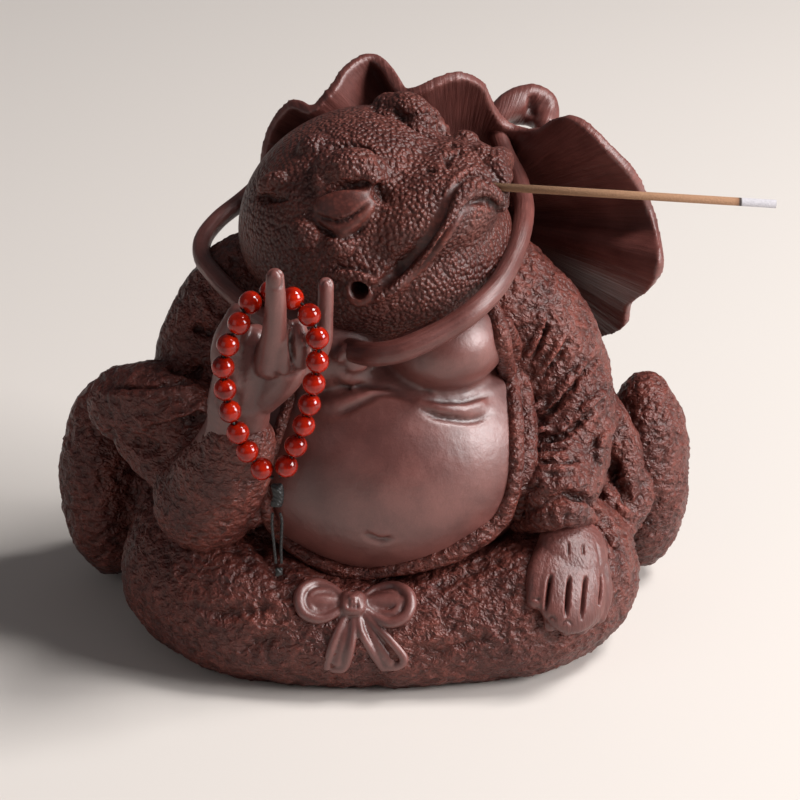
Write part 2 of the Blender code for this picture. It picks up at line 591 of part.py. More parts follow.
def paint(name, colour, roughness, metallic=0.0):
    material = bpy.data.materials.new(name)
    material.use_nodes = True
    shader = material.node_tree.nodes["Principled BSDF"]
    shader.inputs["Base Color"].default_value = (*colour, 1.0)
    shader.inputs["Roughness"].default_value = roughness
    shader.inputs["Metallic"].default_value = metallic
    return material


def enter(obj, collection, material=None):
    """Puts an object in its collection and gives it its material."""
    bpy.context.scene.collection.objects.unlink(obj)
    collection.objects.link(obj)
    if material:
        obj.data.materials.append(material)
        if obj.type == "MESH":
            obj.data.shade_smooth()
    else:
        obj.hide_render = True
        obj.display_type = "WIRE"
    return obj


def rod(name, start, end, radius, sides=16):
    """A round bar from one point to another."""
    start, end = Vector(start), Vector(end)
    turn = (end - start).to_track_quat("Z", "Y").to_matrix().to_4x4()
    place = Matrix.Translation((start + end) / 2) @ turn
    bm = bmesh.new()
    size = {"radius1": radius, "radius2": radius, "depth": (end - start).length}
    bmesh.ops.create_cone(bm, cap_ends=True, segments=sides, matrix=place, **size)
    return make(name, bm)


def hollow():
    """The inside of the cast clay, one wall in from the main masses."""
    bm = bmesh.new()
    for centre, radii in (TORSO, SEAT, BELLY):
        ball(bm, centre, [radius - WALL for radius in radii])
    limb(bm, [(*s[:3], s[3] - WALL) for s in NECK])
    centre, radii = CRANIUM
    ball(bm, centre, [radius - WALL for radius in radii], frame=head_frame())
    inside = knead(make("inside", bm), HOLLOW_GRAIN, 4)
    biggest_body(inside)
    cut_level(inside, FLOOR)
    return thin_out(inside, HOLLOW_FACES)


def cut(obj, cutter):
    hole = obj.modifiers.new(cutter.name, "BOOLEAN")
    hole.operation = "DIFFERENCE"
    hole.solver = "EXACT"
    hole.object = cutter


def tube(name, points, width, resolution=2):
    """A cord along points, with closed ends."""
    curve = bpy.data.curves.new(name, "CURVE")
    curve.dimensions = "3D"
    curve.bevel_depth = width / 2 * MM
    curve.bevel_resolution = resolution
    curve.use_fill_caps = True
    spline = curve.splines.new("POLY")
    spline.points.add(len(points) - 1)
    for point, place in zip(spline.points, points):
        point.co = (*(Vector(place[:3]) * MM), 1.0)
    obj = bpy.data.objects.new(name, curve)
    bpy.context.scene.collection.objects.link(obj)
    return obj


def bead_mesh():
    """A round bead turned about Z, with a bore right through it."""
    bore = BEAD_BORE / 2
    reach = math.sqrt((BEAD_WIDTH / 2) ** 2 - bore**2)
    steps = 7
    top = math.atan2(reach, bore)
    bm = bmesh.new()
    arc = [top - 2 * top * i / steps for i in range(steps + 1)]
    verts = [bm.verts.new((BEAD_WIDTH / 2 * math.cos(a), 0, BEAD_WIDTH / 2 * math.sin(a))) for a in arc]
    edges = [bm.edges.new(pair) for pair in zip(verts, verts[1:])]
    edges.append(bm.edges.new((verts[-1], verts[0])))
    around = {"cent": (0, 0, 0), "axis": (0, 0, 1), "angle": 2 * math.pi}
    bmesh.ops.spin(bm, geom=[*verts, *edges], steps=BEAD_SIDES, use_merge=True, **around)
    bmesh.ops.recalc_face_normals(bm, faces=bm.faces)
    mesh = bpy.data.meshes.new("bead")
    bm.to_mesh(mesh)
    bm.free()
    return mesh


def bead_places():
    """Centres and directions of the beads, evenly spread along the string from knot to knot."""
    path = smooth_path(spots(STRING), 0.3)
    run = np.concatenate([[0.0], np.cumsum(np.linalg.norm(np.diff(path, axis=0), axis=1))])
    pitch = (run[-1] - 2 * KNOT_ROOM) / (BEAD_COUNT - 1)
    stops = [KNOT_ROOM + pitch * i for i in range(BEAD_COUNT)]
    centres = [Vector([np.interp(stop, run, path[:, axis]) for axis in range(3)]) for stop in stops]
    ends = [Vector(path[0]), *centres, Vector(path[-1])]
    return centres, [(ends[i + 2] - ends[i]).normalized() for i in range(BEAD_COUNT)], pitch


def build():
    parts = bpy.data.collections.new("toad_tea_pet")
    cutters = bpy.data.collections.new("cutters")
    for collection in (parts, cutters):
        bpy.context.scene.collection.children.link(collection)
    clay = paint("purple_clay", (0.13, 0.052, 0.043), 0.55)
    agate = paint("red_agate", (0.55, 0.03, 0.012), 0.12)
    wax = paint("black_wax_cord", (0.012, 0.012, 0.013), 0.6)
    incense = paint("incense", (0.32, 0.19, 0.10), 0.85)

    figure = shape_figure()
    biggest_body(figure)
    skin = tree_of(figure)
    thin_out(figure, FACES_KEPT)
    cut_level(figure, 0.0)
    biggest_body(figure)

    mouth, inward, _, _ = skin.ray_cast(EYE, sight(*STICK_SPOT))
    far = spot(*STICK_FAR, mouth.y)
    along = (far - mouth).normalized()
    corner, normal, _, _ = skin.ray_cast(EYE, sight(*MOUTH_HOLE))
    reach = 4.0
    stick_bore = (STICK_WIDTH + STICK_ROOM) / 2
    holes = [
        hollow(),
        rod("vent", (*VENT_PLACE, -1.0), (*VENT_PLACE, FLOOR + 3.0), VENT_WIDTH / 2, 12),
        rod("smoke_hole", corner + normal * reach, corner - normal * MOUTH_DEPTH, MOUTH_BORE / 2),
        rod("stick_hole", mouth + along * reach, mouth - along * STICK_INSERT, stick_bore, 12),
    ]
    enter(figure, parts, clay)
    for hole in holes:
        enter(hole, cutters)
        cut(figure, hole)

    stick = rod("incense_stick", mouth - along * (STICK_INSERT - GAP), far, STICK_WIDTH / 2, 12)
    enter(stick, parts, incense)

    centres, ways, pitch = bead_places()
    mesh = bead_mesh()
    mesh.materials.append(agate)
    mesh.shade_smooth()
    string = [Vector(spot(*STRING[0])) + ways[0] * GAP]
    for i, (centre, way) in enumerate(zip(centres, ways)):
        bead = bpy.data.objects.new(f"bead_{i + 1:02d}", mesh)
        bead.location = centre
        bead.rotation_mode = "QUATERNION"
        bead.rotation_quaternion = way.to_track_quat("Z", "Y")
        parts.objects.link(bead)
        string += [centre - way * pitch * THREADED, centre + way * pitch * THREADED]
    string.append(Vector(spot(*STRING[-1])))
    enter(tube("bead_cord", string, STRING_WIDTH), parts, wax)

    knots = (("bead_knot", TASSEL_KNOT, TASSEL_KNOT_WIDTH), ("tassel_end", TASSEL_END, TASSEL_END_WIDTH))
    for name, line, width in knots:
        bm = bmesh.new()
        limb(bm, [(*place, width / 2) for place in spots(line)])
        knot = thin_out(knead(make(name, bm), KNOT_GRAIN, 2), KNOT_FACES)
        enter(knot, parts, wax)
    for i, tail in enumerate(TASSEL_TAILS):
        enter(tube(f"tassel_cord_{i + 1}", smooth_path(spots(tail), 1.2), STRING_WIDTH), parts, wax)

    # Drawn millimetres to metres
    for mesh in {obj.data for obj in (*parts.objects, *cutters.objects) if obj.type == "MESH"}:
        mesh.transform(Matrix.Scale(MM, 4))
    for obj in parts.objects:
        obj.location *= MM
    return parts


build()
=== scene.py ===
# %% [markdown]
# # A clay toad that burns incense
#
# A tea pet is a small figure of unglazed clay that stands on a tea tray.
# This one is a fat toad in a loose robe, with a leaf hat hanging on its back, a bead string on one hand
# and an incense stick at the tip of its snout.
#
# The whole figure is modelled the way a potter does it: lumps first, then thin rolls laid on them,
# then grooves drawn with a tool. All lengths are in millimetres until the end, where they turn to metres.

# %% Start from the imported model
import json
import math

import bmesh
import bpy
import numpy as np
from mathutils import Matrix, Vector, noise
from mathutils.bvhtree import BVHTree
from mathutils.kdtree import KDTree

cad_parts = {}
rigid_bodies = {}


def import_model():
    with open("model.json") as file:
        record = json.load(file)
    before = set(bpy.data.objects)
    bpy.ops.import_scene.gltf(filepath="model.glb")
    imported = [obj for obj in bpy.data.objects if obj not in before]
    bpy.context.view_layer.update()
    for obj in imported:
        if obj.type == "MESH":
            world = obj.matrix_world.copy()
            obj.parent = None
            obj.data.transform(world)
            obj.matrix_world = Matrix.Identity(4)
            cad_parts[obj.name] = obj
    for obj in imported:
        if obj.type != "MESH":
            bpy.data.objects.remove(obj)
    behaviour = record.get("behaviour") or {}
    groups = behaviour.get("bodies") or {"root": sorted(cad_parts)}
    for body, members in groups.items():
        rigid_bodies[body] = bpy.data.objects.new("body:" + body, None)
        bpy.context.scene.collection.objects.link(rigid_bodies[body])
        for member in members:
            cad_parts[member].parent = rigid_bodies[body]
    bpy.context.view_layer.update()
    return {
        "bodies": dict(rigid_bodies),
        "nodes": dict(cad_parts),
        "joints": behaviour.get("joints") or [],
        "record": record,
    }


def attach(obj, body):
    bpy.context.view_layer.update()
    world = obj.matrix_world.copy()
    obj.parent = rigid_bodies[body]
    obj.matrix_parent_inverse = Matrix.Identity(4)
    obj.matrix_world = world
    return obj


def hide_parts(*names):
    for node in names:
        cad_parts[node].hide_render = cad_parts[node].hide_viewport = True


for old in list(bpy.data.objects):
    bpy.data.objects.remove(old)

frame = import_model()
MM = 0.001
print("CAD nodes:", len(frame["nodes"]))

# %% [markdown]
# ## The camera and the drawing sheet
#
# The photograph looks down on the figure by 25 degrees. A sheet of 800 by 800 units stands in the camera's
# view, so every outline can be drawn where the eye sees it, and then pushed to its depth.

# %% Camera and sheet
SHEET_MIDDLE = 400.0
SHEET_UNIT = 0.254
SHEET_TILT = math.radians(25.0)
SHEET_POINT = Vector((5.6, 0.0, 58.3))
SHEET_DISTANCE = 800.0
AHEAD = Vector((0.0, math.cos(SHEET_TILT), -math.sin(SHEET_TILT)))
UPWARD = Vector((0.0, math.sin(SHEET_TILT), math.cos(SHEET_TILT)))
EYE = SHEET_POINT - SHEET_DISTANCE * AHEAD

camera = bpy.data.objects.new("camera", bpy.data.cameras.new("camera"))
camera.location = EYE * MM
camera.rotation_euler = (math.pi / 2 - SHEET_TILT, 0, 0)
camera.data.sensor_width = 36.0
camera.data.lens = 36.0 * SHEET_DISTANCE / (2 * SHEET_MIDDLE * SHEET_UNIT)
camera.data.dof.use_dof = False
bpy.context.scene.collection.objects.link(camera)
bpy.context.scene.camera = camera


def sight(px, py):
    """Direction from the eye through a point of the sheet."""
    across = (px - SHEET_MIDDLE) * SHEET_UNIT
    up = (SHEET_MIDDLE - py) * SHEET_UNIT
    return (SHEET_DISTANCE * AHEAD + Vector((across, 0, 0)) + up * UPWARD).normalized()


def spot(px, py, depth):
    """The point seen at a place of the sheet that lies at the given depth, its Y."""
    ray = sight(px, py)
    return EYE + ray * ((depth - EYE.y) / ray.y)


def spots(rows):
    return [(*spot(*row[:3]), *row[3:]) for row in rows]


def smooth_path(points, spacing):
    """Points spread along a smooth curve through the given ones, with all the values that they carry."""
    points = np.array(points, float)
    padded = np.vstack([2 * points[0] - points[1], points, 2 * points[-1] - points[-2]])
    rows = []
    for i in range(1, len(padded) - 2):
        p0, p1, p2, p3 = padded[i - 1 : i + 3]
        count = max(2, int(np.linalg.norm(p2[:3] - p1[:3]) / spacing) + 1)
        t = np.linspace(0, 1, count, endpoint=False)[:, None]
        curve = 2 * p1 + (p2 - p0) * t + (2 * p0 - 5 * p1 + 4 * p2 - p3) * t**2
        curve += (3 * p1 - p0 - 3 * p2 + p3) * t**3
        rows.append(0.5 * curve)
    return np.vstack([*rows, points[-1:]])


print("camera lens", round(camera.data.lens, 1), "mm")

# %% [markdown]
# ## Materials
#
# Purple clay is fired without a glaze. It is brown with a violet cast, a little satin where fingers smoothed
# it, and dull where it was torn with a stiff tool. Fine sand in it shows as a grain of about a third of a
# millimetre. The beads are polished agate with clouds of a deeper red.

# %% Material tools


def linear(code):
    """An sRGB hex colour as linear red, green, blue and alpha."""
    parts = [int(code[i : i + 2], 16) / 255 for i in (1, 3, 5)]
    return (*[c / 12.92 if c < 0.04045 else ((c + 0.055) / 1.055) ** 2.4 for c in parts], 1.0)


def node(tree, kind, values=None, links=None, **settings):
    """Adds a node with its settings, the values of its inputs and what is linked into them."""
    made = tree.nodes.new(kind)
    for name, value in settings.items():
        setattr(made, name, value)
    for socket, value in (values or {}).items():
        made.inputs[socket].default_value = value
    for socket, source in (links or {}).items():
        tree.links.new(source, made.inputs[socket])
    return made


def new_material(name):
    material = bpy.data.materials.new(name)
    material.use_nodes = True
    tree = material.node_tree
    place = node(tree, "ShaderNodeTexCoord").outputs["Object"]
    in_mm = node(tree, "ShaderNodeVectorMath", {"Scale": 1 / MM}, {0: place}, operation="SCALE").outputs[0]
    return material, tree, tree.nodes["Principled BSDF"], in_mm


def maths(tree, operation, values, links):
    return node(tree, "ShaderNodeMath", values, links, operation=operation).outputs[0]


def spread(tree, value, span):
    """A value moved from one range to another."""
    return node(tree, "ShaderNodeMapRange", span, {"Value": value}).outputs[0]


def noise_height(tree, place, size, detail=3.0, twist=0.0):
    """A noise pattern whose marks are about one size, in millimetres."""
    values = {"Scale": 1 / size, "Detail": detail, "Distortion": twist}
    return node(tree, "ShaderNodeTexNoise", values, {"Vector": place}).outputs["Fac"]


def sand(tree, place, grain=0.35):
    return noise_height(tree, place, grain, 2.0)


def clay(name, dark, light, roughness, shine, pattern=None, low=0.25, high=0.75, pit=0.55):
    """Unglazed clay: two close tones in clouds and specks, with painted shade in the hollows and pits and a
    painted highlight on the edges and crests.
    """
    material, tree, shader, place = new_material(name)
    speck = noise_height(tree, place, 0.4, 2.0)
    cloud = noise_height(tree, place, 9.0, 4.0)
    both = maths(tree, "MULTIPLY_ADD", {1: 0.35}, {0: speck, 2: cloud})
    blend = spread(tree, both, {"From Min": 0.5, "From Max": 0.85})
    tones = {"A": linear(dark), "B": linear(light)}
    tone = node(tree, "ShaderNodeMix", tones, {"Factor": blend}, data_type="RGBA").outputs["Result"]
    # Painted shade and highlight: the curvature darkens the tone in hollows and lightens it on edges.
    edge = node(tree, "ShaderNodeNewGeometry").outputs["Pointiness"]
    painted_shade_and_highlight = spread(tree, edge, {"From Min": 0.42, "From Max": 0.58, "To Min": 0.45, "To Max": 1.4})
    relief = pattern(tree, place) if pattern else None
    if relief:
        # Painted shade and highlight: the relief darkens the tone in its pits and lightens it on its crests.
        deep = spread(tree, relief, {"From Min": low, "From Max": high, "To Min": pit, "To Max": 1.15})
        painted_shade_and_highlight = maths(tree, "MULTIPLY", None, {0: painted_shade_and_highlight, 1: deep})
    shade = node(tree, "ShaderNodeVectorMath", None, {0: tone, "Scale": painted_shade_and_highlight}, operation="SCALE")
    tree.links.new(shade.outputs[0], shader.inputs["Base Color"])
    gloss = spread(tree, speck, {"To Min": roughness - 0.07, "To Max": roughness + 0.09})
    tree.links.new(gloss, shader.inputs["Roughness"])
    shader.inputs["Specular IOR Level"].default_value = shine
    return material, tree, shader, place, relief


def emboss(tree, shader, *heights):
    """Presses patterns into a surface, each with its depth in millimetres and where it fades away."""
    normal = {}
    for height, depth, *fade in heights:
        links = {"Height": height, **normal, **({"Strength": fade[0]} if fade else {})}
        press = node(tree, "ShaderNodeBump", {"Distance": depth * MM}, links)
        normal = {"Normal": press.outputs[0]}
    tree.links.new(normal["Normal"], shader.inputs["Normal"])


# %% Smooth, brushed, torn and warty clay


def scaled(tree, place, factors):
    return node(tree, "ShaderNodeVectorMath", {1: factors}, {0: place}, operation="MULTIPLY").outputs[0]


def cells(tree, place, scale, softness):
    """Round cells with soft walls: how far each place is from the middle of its cell."""
    values = {"Scale": scale, "Smoothness": softness, "Randomness": 1.0}
    made = node(tree, "ShaderNodeTexVoronoi", values, {"Vector": place}, feature="SMOOTH_F1")
    return made.outputs["Distance"]


def brush_marks(tree, place):
    """Fine lines of a stiff brush: they follow the piece by its own attribute, in millimetres."""
    own = node(tree, "ShaderNodeAttribute", attribute_name="brushed").outputs["Vector"]
    return noise_height(tree, scaled(tree, own, (1.0, 0.09, 1.0)), 0.8, 3.0)


def torn_marks(tree, place):
    """Chips of torn clay, about 1.5 mm wide, with crests where the noise crosses its middle value."""
    lain = scaled(tree, place, (0.75, 0.8, 1.0))
    off = maths(tree, "SUBTRACT", {1: 0.5}, {0: noise_height(tree, lain, 2.1, 2.0, twist=0.3)})
    away = maths(tree, "ABSOLUTE", None, {0: off})
    crest = maths(tree, "MULTIPLY_ADD", {1: -3.0, 2: 1.0}, {0: away})
    return maths(tree, "MULTIPLY_ADD", {1: -0.9}, {0: cells(tree, lain, 0.6, 0.25), 2: crest})


def wart_marks(tree, place):
    """Small round warts that run together, about 1 mm across."""
    shift = noise_height(tree, place, 1.6, 2.0)
    worms = maths(tree, "MULTIPLY_ADD", {1: 0.8}, {0: shift, 2: cells(tree, place, 0.95, 0.45)})
    return maths(tree, "SUBTRACT", {0: 1.25}, {1: worms})


SMOOTH_CLAY, tree, shader, place, _ = clay("smooth_clay", "#5a2f2a", "#73433d", 0.41, 0.85)
emboss(tree, shader, (noise_height(tree, place, 2.2, 2.0), 0.12), (sand(tree, place), 0.03))

BRUSHED_CLAY, tree, shader, place, lines = clay(
    "brushed_clay", "#542a25", "#6c3d37", 0.42, 0.6, brush_marks, pit=0.8)
emboss(tree, shader, (lines, 0.25), (sand(tree, place), 0.03))

ROUGH_CLAY, tree, shader, place, torn = clay(
    "torn_clay", "#50241e", "#6c372e", 0.42, 0.4, torn_marks, low=-0.2, high=0.8)
crinkle = noise_height(tree, place, 1.0, 2.0, twist=1.2)
emboss(tree, shader, (torn, 0.75), (crinkle, 0.25), (sand(tree, place, 0.3), 0.05))

WARTY_CLAY, tree, shader, place, warts = clay(
    "warty_clay", "#50251f", "#6a372e", 0.44, 0.4, wart_marks, pit=0.65)
burnished = node(tree, "ShaderNodeAttribute", attribute_name="burnished").outputs["Fac"]
rough = maths(tree, "SUBTRACT", {0: 1.0}, {1: burnished})
emboss(tree, shader, (warts, 0.8, rough), (sand(tree, place), 0.05))

# %% Agate and waxed cord
AGATE, tree, shader, place = new_material("red_agate")
cloud = spread(tree, noise_height(tree, place, 3.5), {"From Min": 0.35, "From Max": 0.65})
reds = {"A": linear("#c62204"), "B": linear("#7c0d02")}
red = node(tree, "ShaderNodeMix", reds, {"Factor": cloud}, data_type="RGBA")
tree.links.new(red.outputs["Result"], shader.inputs["Base Color"])
for socket, value in (("Roughness", 0.07), ("Transmission Weight", 0.35), ("IOR", 1.48)):
    shader.inputs[socket].default_value = value

WAX, tree, shader, place = new_material("black_wax_cord")
strands = node(tree, "ShaderNodeTexWave", {"Scale": 0.5, "Distortion": 1.0}, {"Vector": place},
               bands_direction="DIAGONAL").outputs["Fac"]
twist = node(tree, "ShaderNodeBump", {"Strength": 0.8, "Distance": 0.15 * MM}, {"Height": strands})
shader.inputs["Base Color"].default_value = linear("#0f0f10")
shader.inputs["Roughness"].default_value = 0.45
tree.links.new(twist.outputs[0], shader.inputs["Normal"])
print("materials:", len(bpy.data.materials))

# %% [markdown]
# ## The bead string
#
# One thin waxed cord runs through nineteen beads, hangs in a loop over the raised finger,
# and ends in a braided knot with two short tails. The cord is the loop itself, so it is drawn first.

# %% Bead string
STRING = ((278.5, 477.5, -53), (288, 463, -53), (304, 424, -53), (315, 378, -54), (318, 350, -54),
          (315, 326, -53), (303, 307, -51), (288, 296, -48.6), (270, 292, -46.8), (252.5, 300, -49),
          (241, 320, -52.6), (229, 342, -54), (223, 366, -54), (225, 390, -54), (230, 412, -54),
          (238, 433, -54), (249, 454, -53), (262, 469, -53), (273.5, 477.5, -53))
BEAD_COUNT = 19
BEAD_WIDTH = 5.5
BEAD_BORE = 1.6
STRING_WIDTH = 0.7
THREADED = 0.47  # share of the pitch that the cord runs straight to each side of a bead's middle
KNOT_ROOM = 3.6


def show(obj, material, slot, *nodes):
    """Turns a finished piece to metres, gives it its material and puts it on the object."""
    if obj.type == "MESH":
        obj.data.transform(Matrix.Scale(MM, 4))
        obj.data.shade_smooth()
    obj.data.materials.clear()
    obj.data.materials.append(material)
    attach(obj, "root")
    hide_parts(*nodes)
    return obj


def make(name, bm):
    """Turns a bmesh into an object in the scene."""
    mesh = bpy.data.meshes.new(name)
    bm.to_mesh(mesh)
    bm.free()
    obj = bpy.data.objects.new(name, mesh)
    bpy.context.scene.collection.objects.link(obj)
    return obj


def tube(name, points, width):
    """A cord along points, with closed ends."""
    curve = bpy.data.curves.new(name, "CURVE")
    curve.dimensions = "3D"
    curve.bevel_depth = width / 2 * MM
    curve.bevel_resolution = 4
    curve.use_fill_caps = True
    spline = curve.splines.new("POLY")
    spline.points.add(len(points) - 1)
    for point, place in zip(spline.points, points):
        point.co = (*(Vector(place[:3]) * MM), 1.0)
    obj = bpy.data.objects.new(name, curve)
    bpy.context.scene.collection.objects.link(obj)
    return obj


def bead_places():
    """Centres and directions of the beads, spread evenly from one side of the knot to the other."""
    path = smooth_path(spots(STRING), 0.3)
    run = np.concatenate([[0.0], np.cumsum(np.linalg.norm(np.diff(path, axis=0), axis=1))])
    pitch = (run[-1] - 2 * KNOT_ROOM) / (BEAD_COUNT - 1)
    stops = [KNOT_ROOM + pitch * i for i in range(BEAD_COUNT)]
    centres = [Vector([np.interp(stop, run, path[:, axis]) for axis in range(3)]) for stop in stops]
    ends = [Vector(path[0]), *centres, Vector(path[-1])]
    return centres, [(ends[i + 2] - ends[i]).normalized() for i in range(BEAD_COUNT)], pitch


def bead(name, centre, way):
    """A bead turned about its bore."""
    bore = BEAD_BORE / 2
    top = math.acos(bore / (BEAD_WIDTH / 2))
    steps = 16
    bm = bmesh.new()
    arc = [top - 2 * top * i / steps for i in range(steps + 1)]
    verts = [bm.verts.new((BEAD_WIDTH / 2 * math.cos(a), 0, BEAD_WIDTH / 2 * math.sin(a))) for a in arc]
    edges = [bm.edges.new(pair) for pair in zip(verts, verts[1:])]
    edges.append(bm.edges.new((verts[-1], verts[0])))
    geom = [*verts, *edges]
    bmesh.ops.spin(bm, geom=geom, cent=(0, 0, 0), axis=(0, 0, 1), angle=2 * math.pi, steps=36, use_merge=True)
    bmesh.ops.recalc_face_normals(bm, faces=bm.faces)
    turn = way.to_track_quat("Z", "Y").to_matrix().to_4x4()
    bmesh.ops.transform(bm, matrix=Matrix.Translation(centre) @ turn, verts=bm.verts)
    return make(name, bm)


centres, ways, pitch = bead_places()
string = [spot(*STRING[0]) + ways[0] * 0.3]
for i, (centre, way) in enumerate(zip(centres, ways)):
    node_name = f"bead_{i + 1:02d}"
    show(bead(f"agate_{i + 1:02d}", centre, way), AGATE, "red_agate", node_name)
    string += [centre - way * pitch * THREADED, centre + way * pitch * THREADED]
string.append(spot(*STRING[-1]))
cord = show(tube("bead_string", string, STRING_WIDTH), WAX, "black_wax_cord", "bead_cord")

# %% [markdown]
# ## Clay tools
#
# A ball is a lump of clay, a limb is a row of balls that makes a roll, and kneading fuses overlapping lumps
# into one skin. A roll can be laid on the surface along a line of the sheet, and a stroke drags a tool along
# such a line.

# %% Lumps, rolls and kneading


def ball(bm, centre, radii, frame=Matrix.Identity(4), detail=3):
    """Adds an egg of clay."""
    place = frame @ Matrix.Translation(centre) @ Matrix.Diagonal((*radii, 1.0))
    bmesh.ops.create_icosphere(bm, subdivisions=detail, radius=1.0, matrix=place)


def limb(bm, stations, step=0.3, detail=2):
    """Adds a rounded roll of clay through stations, each a place and the radius there."""
    roll = bmesh.new()
    for station in smooth_path(stations, min(s[3] for s in stations) * step):
        ball(roll, station[:3], (station[3],) * 3, detail=detail)
    mesh = bpy.data.meshes.new("roll")
    roll.to_mesh(mesh)
    roll.free()
    bm.from_mesh(mesh)
    bpy.data.meshes.remove(mesh)


def settle(obj):
    """Replaces an object's mesh by what its modifiers make of it."""
    bpy.context.view_layer.update()
    graph = bpy.context.evaluated_depsgraph_get()
    mesh = bpy.data.meshes.new_from_object(obj.evaluated_get(graph))
    obj.modifiers.clear()
    obj.data = mesh
    return obj


def knead(obj, grain, passes, strength=0.5):
    """Fuses overlapping lumps into one skin and softens the joins between them."""
    fuse = obj.modifiers.new("fuse", "REMESH")
    fuse.mode = "VOXEL"
    fuse.voxel_size = grain
    soften = obj.modifiers.new("soften", "SMOOTH")
    soften.factor = strength
    soften.iterations = passes
    return settle(obj)


def cut_level(obj):
    """Cuts an object off flat at the ground and closes the cut."""
    bm = bmesh.new()
    bm.from_mesh(obj.data)
    everything = [*bm.verts, *bm.edges, *bm.faces]
    bmesh.ops.bisect_plane(bm, geom=everything, plane_co=(0, 0, 0), plane_no=(0, 0, -1), clear_outer=True)
    bmesh.ops.holes_fill(bm, edges=[edge for edge in bm.edges if edge.is_boundary], sides=0)
    bmesh.ops.triangulate(bm, faces=[face for face in bm.faces if len(face.verts) > 4])
    bm.to_mesh(obj.data)
    bm.free()


def reopen(obj):
    """Takes a piece's mesh back as a bmesh, to add more clay to it."""
    bm = bmesh.new()
    bm.from_mesh(obj.data)
    bpy.data.objects.remove(obj)
    return bm


def tree_of(obj):
    bpy.context.view_layer.update()
    return BVHTree.FromObject(obj, bpy.context.evaluated_depsgraph_get())


def traced(tree, points, sink=0.0):
    """Where sheet points fall on the clay, each with the values it carries."""
    found = []
    for point in points:
        hit, normal, _, _ = tree.ray_cast(EYE, sight(*point[:2]))
        if hit is not None:
            found.append((*(hit - normal * sink), *point[2:]))
    return found


def lay(bm, tree, points, sink=0.35, mirror=None):
    """Lays a roll of clay on the surface along a line of the sheet."""
    stations = traced(tree, points)
    stations = [(*(Vector(s[:3]) - (EYE - Vector(s[:3])).normalized() * s[3] * sink), s[3]) for s in stations]
    limb(bm, stations)
    if mirror:
        limb(bm, [(*(mirror @ Vector(s[:3])), s[3]) for s in stations])


# %% Strokes and rough skin


def pad(bm, tree, px, py, radii, sink=0.0, mirror=None):
    """Lays an egg of clay on the surface: its reach across, along and out of it."""
    hit, out, _, _ = tree.ray_cast(EYE, sight(px, py))
    across = (Vector((1, 0, 0)) - out * out.x).normalized()
    turned = Matrix((across, out.cross(across), out)).transposed().to_4x4()
    frame = Matrix.Translation(hit - out * sink) @ turned
    for place in (frame, mirror @ frame) if mirror else (frame,):
        ball(bm, (0, 0, 0), radii, frame=place, detail=4)


def clay_arrays(obj):
    places = np.empty(len(obj.data.vertices) * 3, np.float32)
    obj.data.vertices.foreach_get("co", places)
    normals = np.empty(len(obj.data.vertices) * 3, np.float32)
    obj.data.vertex_normals.foreach_get("vector", normals)
    return places.reshape(-1, 3).astype(float), normals.reshape(-1, 3).astype(float)


def put_places(obj, places):
    obj.data.vertices.foreach_set("co", places.astype(np.float32).ravel())
    obj.data.update()


def stroke(obj, path, width, height, taper=0.25):
    """Draws a tool along a path: a positive height raises a ridge, a negative one presses a groove."""
    path = smooth_path(path, width * 0.4)[:, :3]
    places, normals = clay_arrays(obj)
    reach = 2.6 * width
    near = np.flatnonzero(((places > path.min(0) - reach) & (places < path.max(0) + reach)).all(1))
    along = np.linspace(0, 1, len(path))
    ends = np.clip(np.minimum(along, 1 - along) / taper, 0, 1)
    for block in np.array_split(near, len(near) // 4000 + 1):
        gaps = places[block][:, None, :] - path[None, :, :]
        distance = np.einsum("ijk,ijk->ij", gaps, gaps)
        nearest = distance.argmin(1)
        far = np.sqrt(distance[np.arange(len(block)), nearest]) / width
        places[block] += normals[block] * (height * np.exp(-far * far) * ends[nearest])[:, None]
    put_places(obj, places)


def strokes(obj, rows, mirror=None):
    """Draws several lines of the sheet on a piece, each with a width and a height."""
    tree = tree_of(obj)
    for line, width, height in rows:
        path = traced(tree, line)
        if len(path) < 2:
            continue
        stroke(obj, path, width, height)
        if mirror:
            stroke(obj, [mirror @ Vector(place[:3]) for place in path], width, height)


def roughen(obj, chip, depth, dent, dent_depth):
    """Tears the surface as a stiff tool does: chips of one size over soft dents of another."""
    places, normals = clay_arrays(obj)
    chips = np.array([noise.ridged_multi_fractal(Vector(p) / chip, 0.9, 2.1, 3, 0.9, 1.6) for p in places])
    dents = np.array([noise.noise(Vector(p) / dent) for p in places])
    chips = np.clip(chips - np.median(chips), -1.0, 1.0)
    put_places(obj, places + normals * (depth * chips + dent_depth * dents)[:, None])


def put_attribute(obj, name, kind, values):
    """Writes a value for each point of the mesh that the material reads."""
    layer = obj.data.attributes.new(name, kind, "POINT")
    layer.data.foreach_set("vector" if kind == "FLOAT_VECTOR" else "value", values.astype(np.float32).ravel())


def nearest_on(path, places):
    """The index of the nearest point of a path for each place, and how far away it is."""
    tree = KDTree(len(path))
    for i, point in enumerate(path):
        tree.insert(point[:3], i)
    tree.balance()
    found = [tree.find(place)[1:] for place in places]
    return np.array([i for i, _ in found]), np.array([far for _, far in found])


def count(obj):
    obj.data.calc_loop_triangles()
    print(f"{obj.name}: {len(obj.data.loop_triangles)} triangles")


def show_clay(obj, material):
    """Puts a finished piece of the clay figure on the object."""
    count(show(obj, material, "purple_clay", "clay_toad"))


# %% [markdown]
# ## The main masses
#
# The robe is a sack over a fat body: two legs folded in front, two sleeves, two ends of cloth that lie out to
# the sides. The belly and the two breasts push out of it. All lumps fused together at a coarse grain make a
# dummy that is never shown: lines of the sheet are traced on it to find how deep each detail lies.

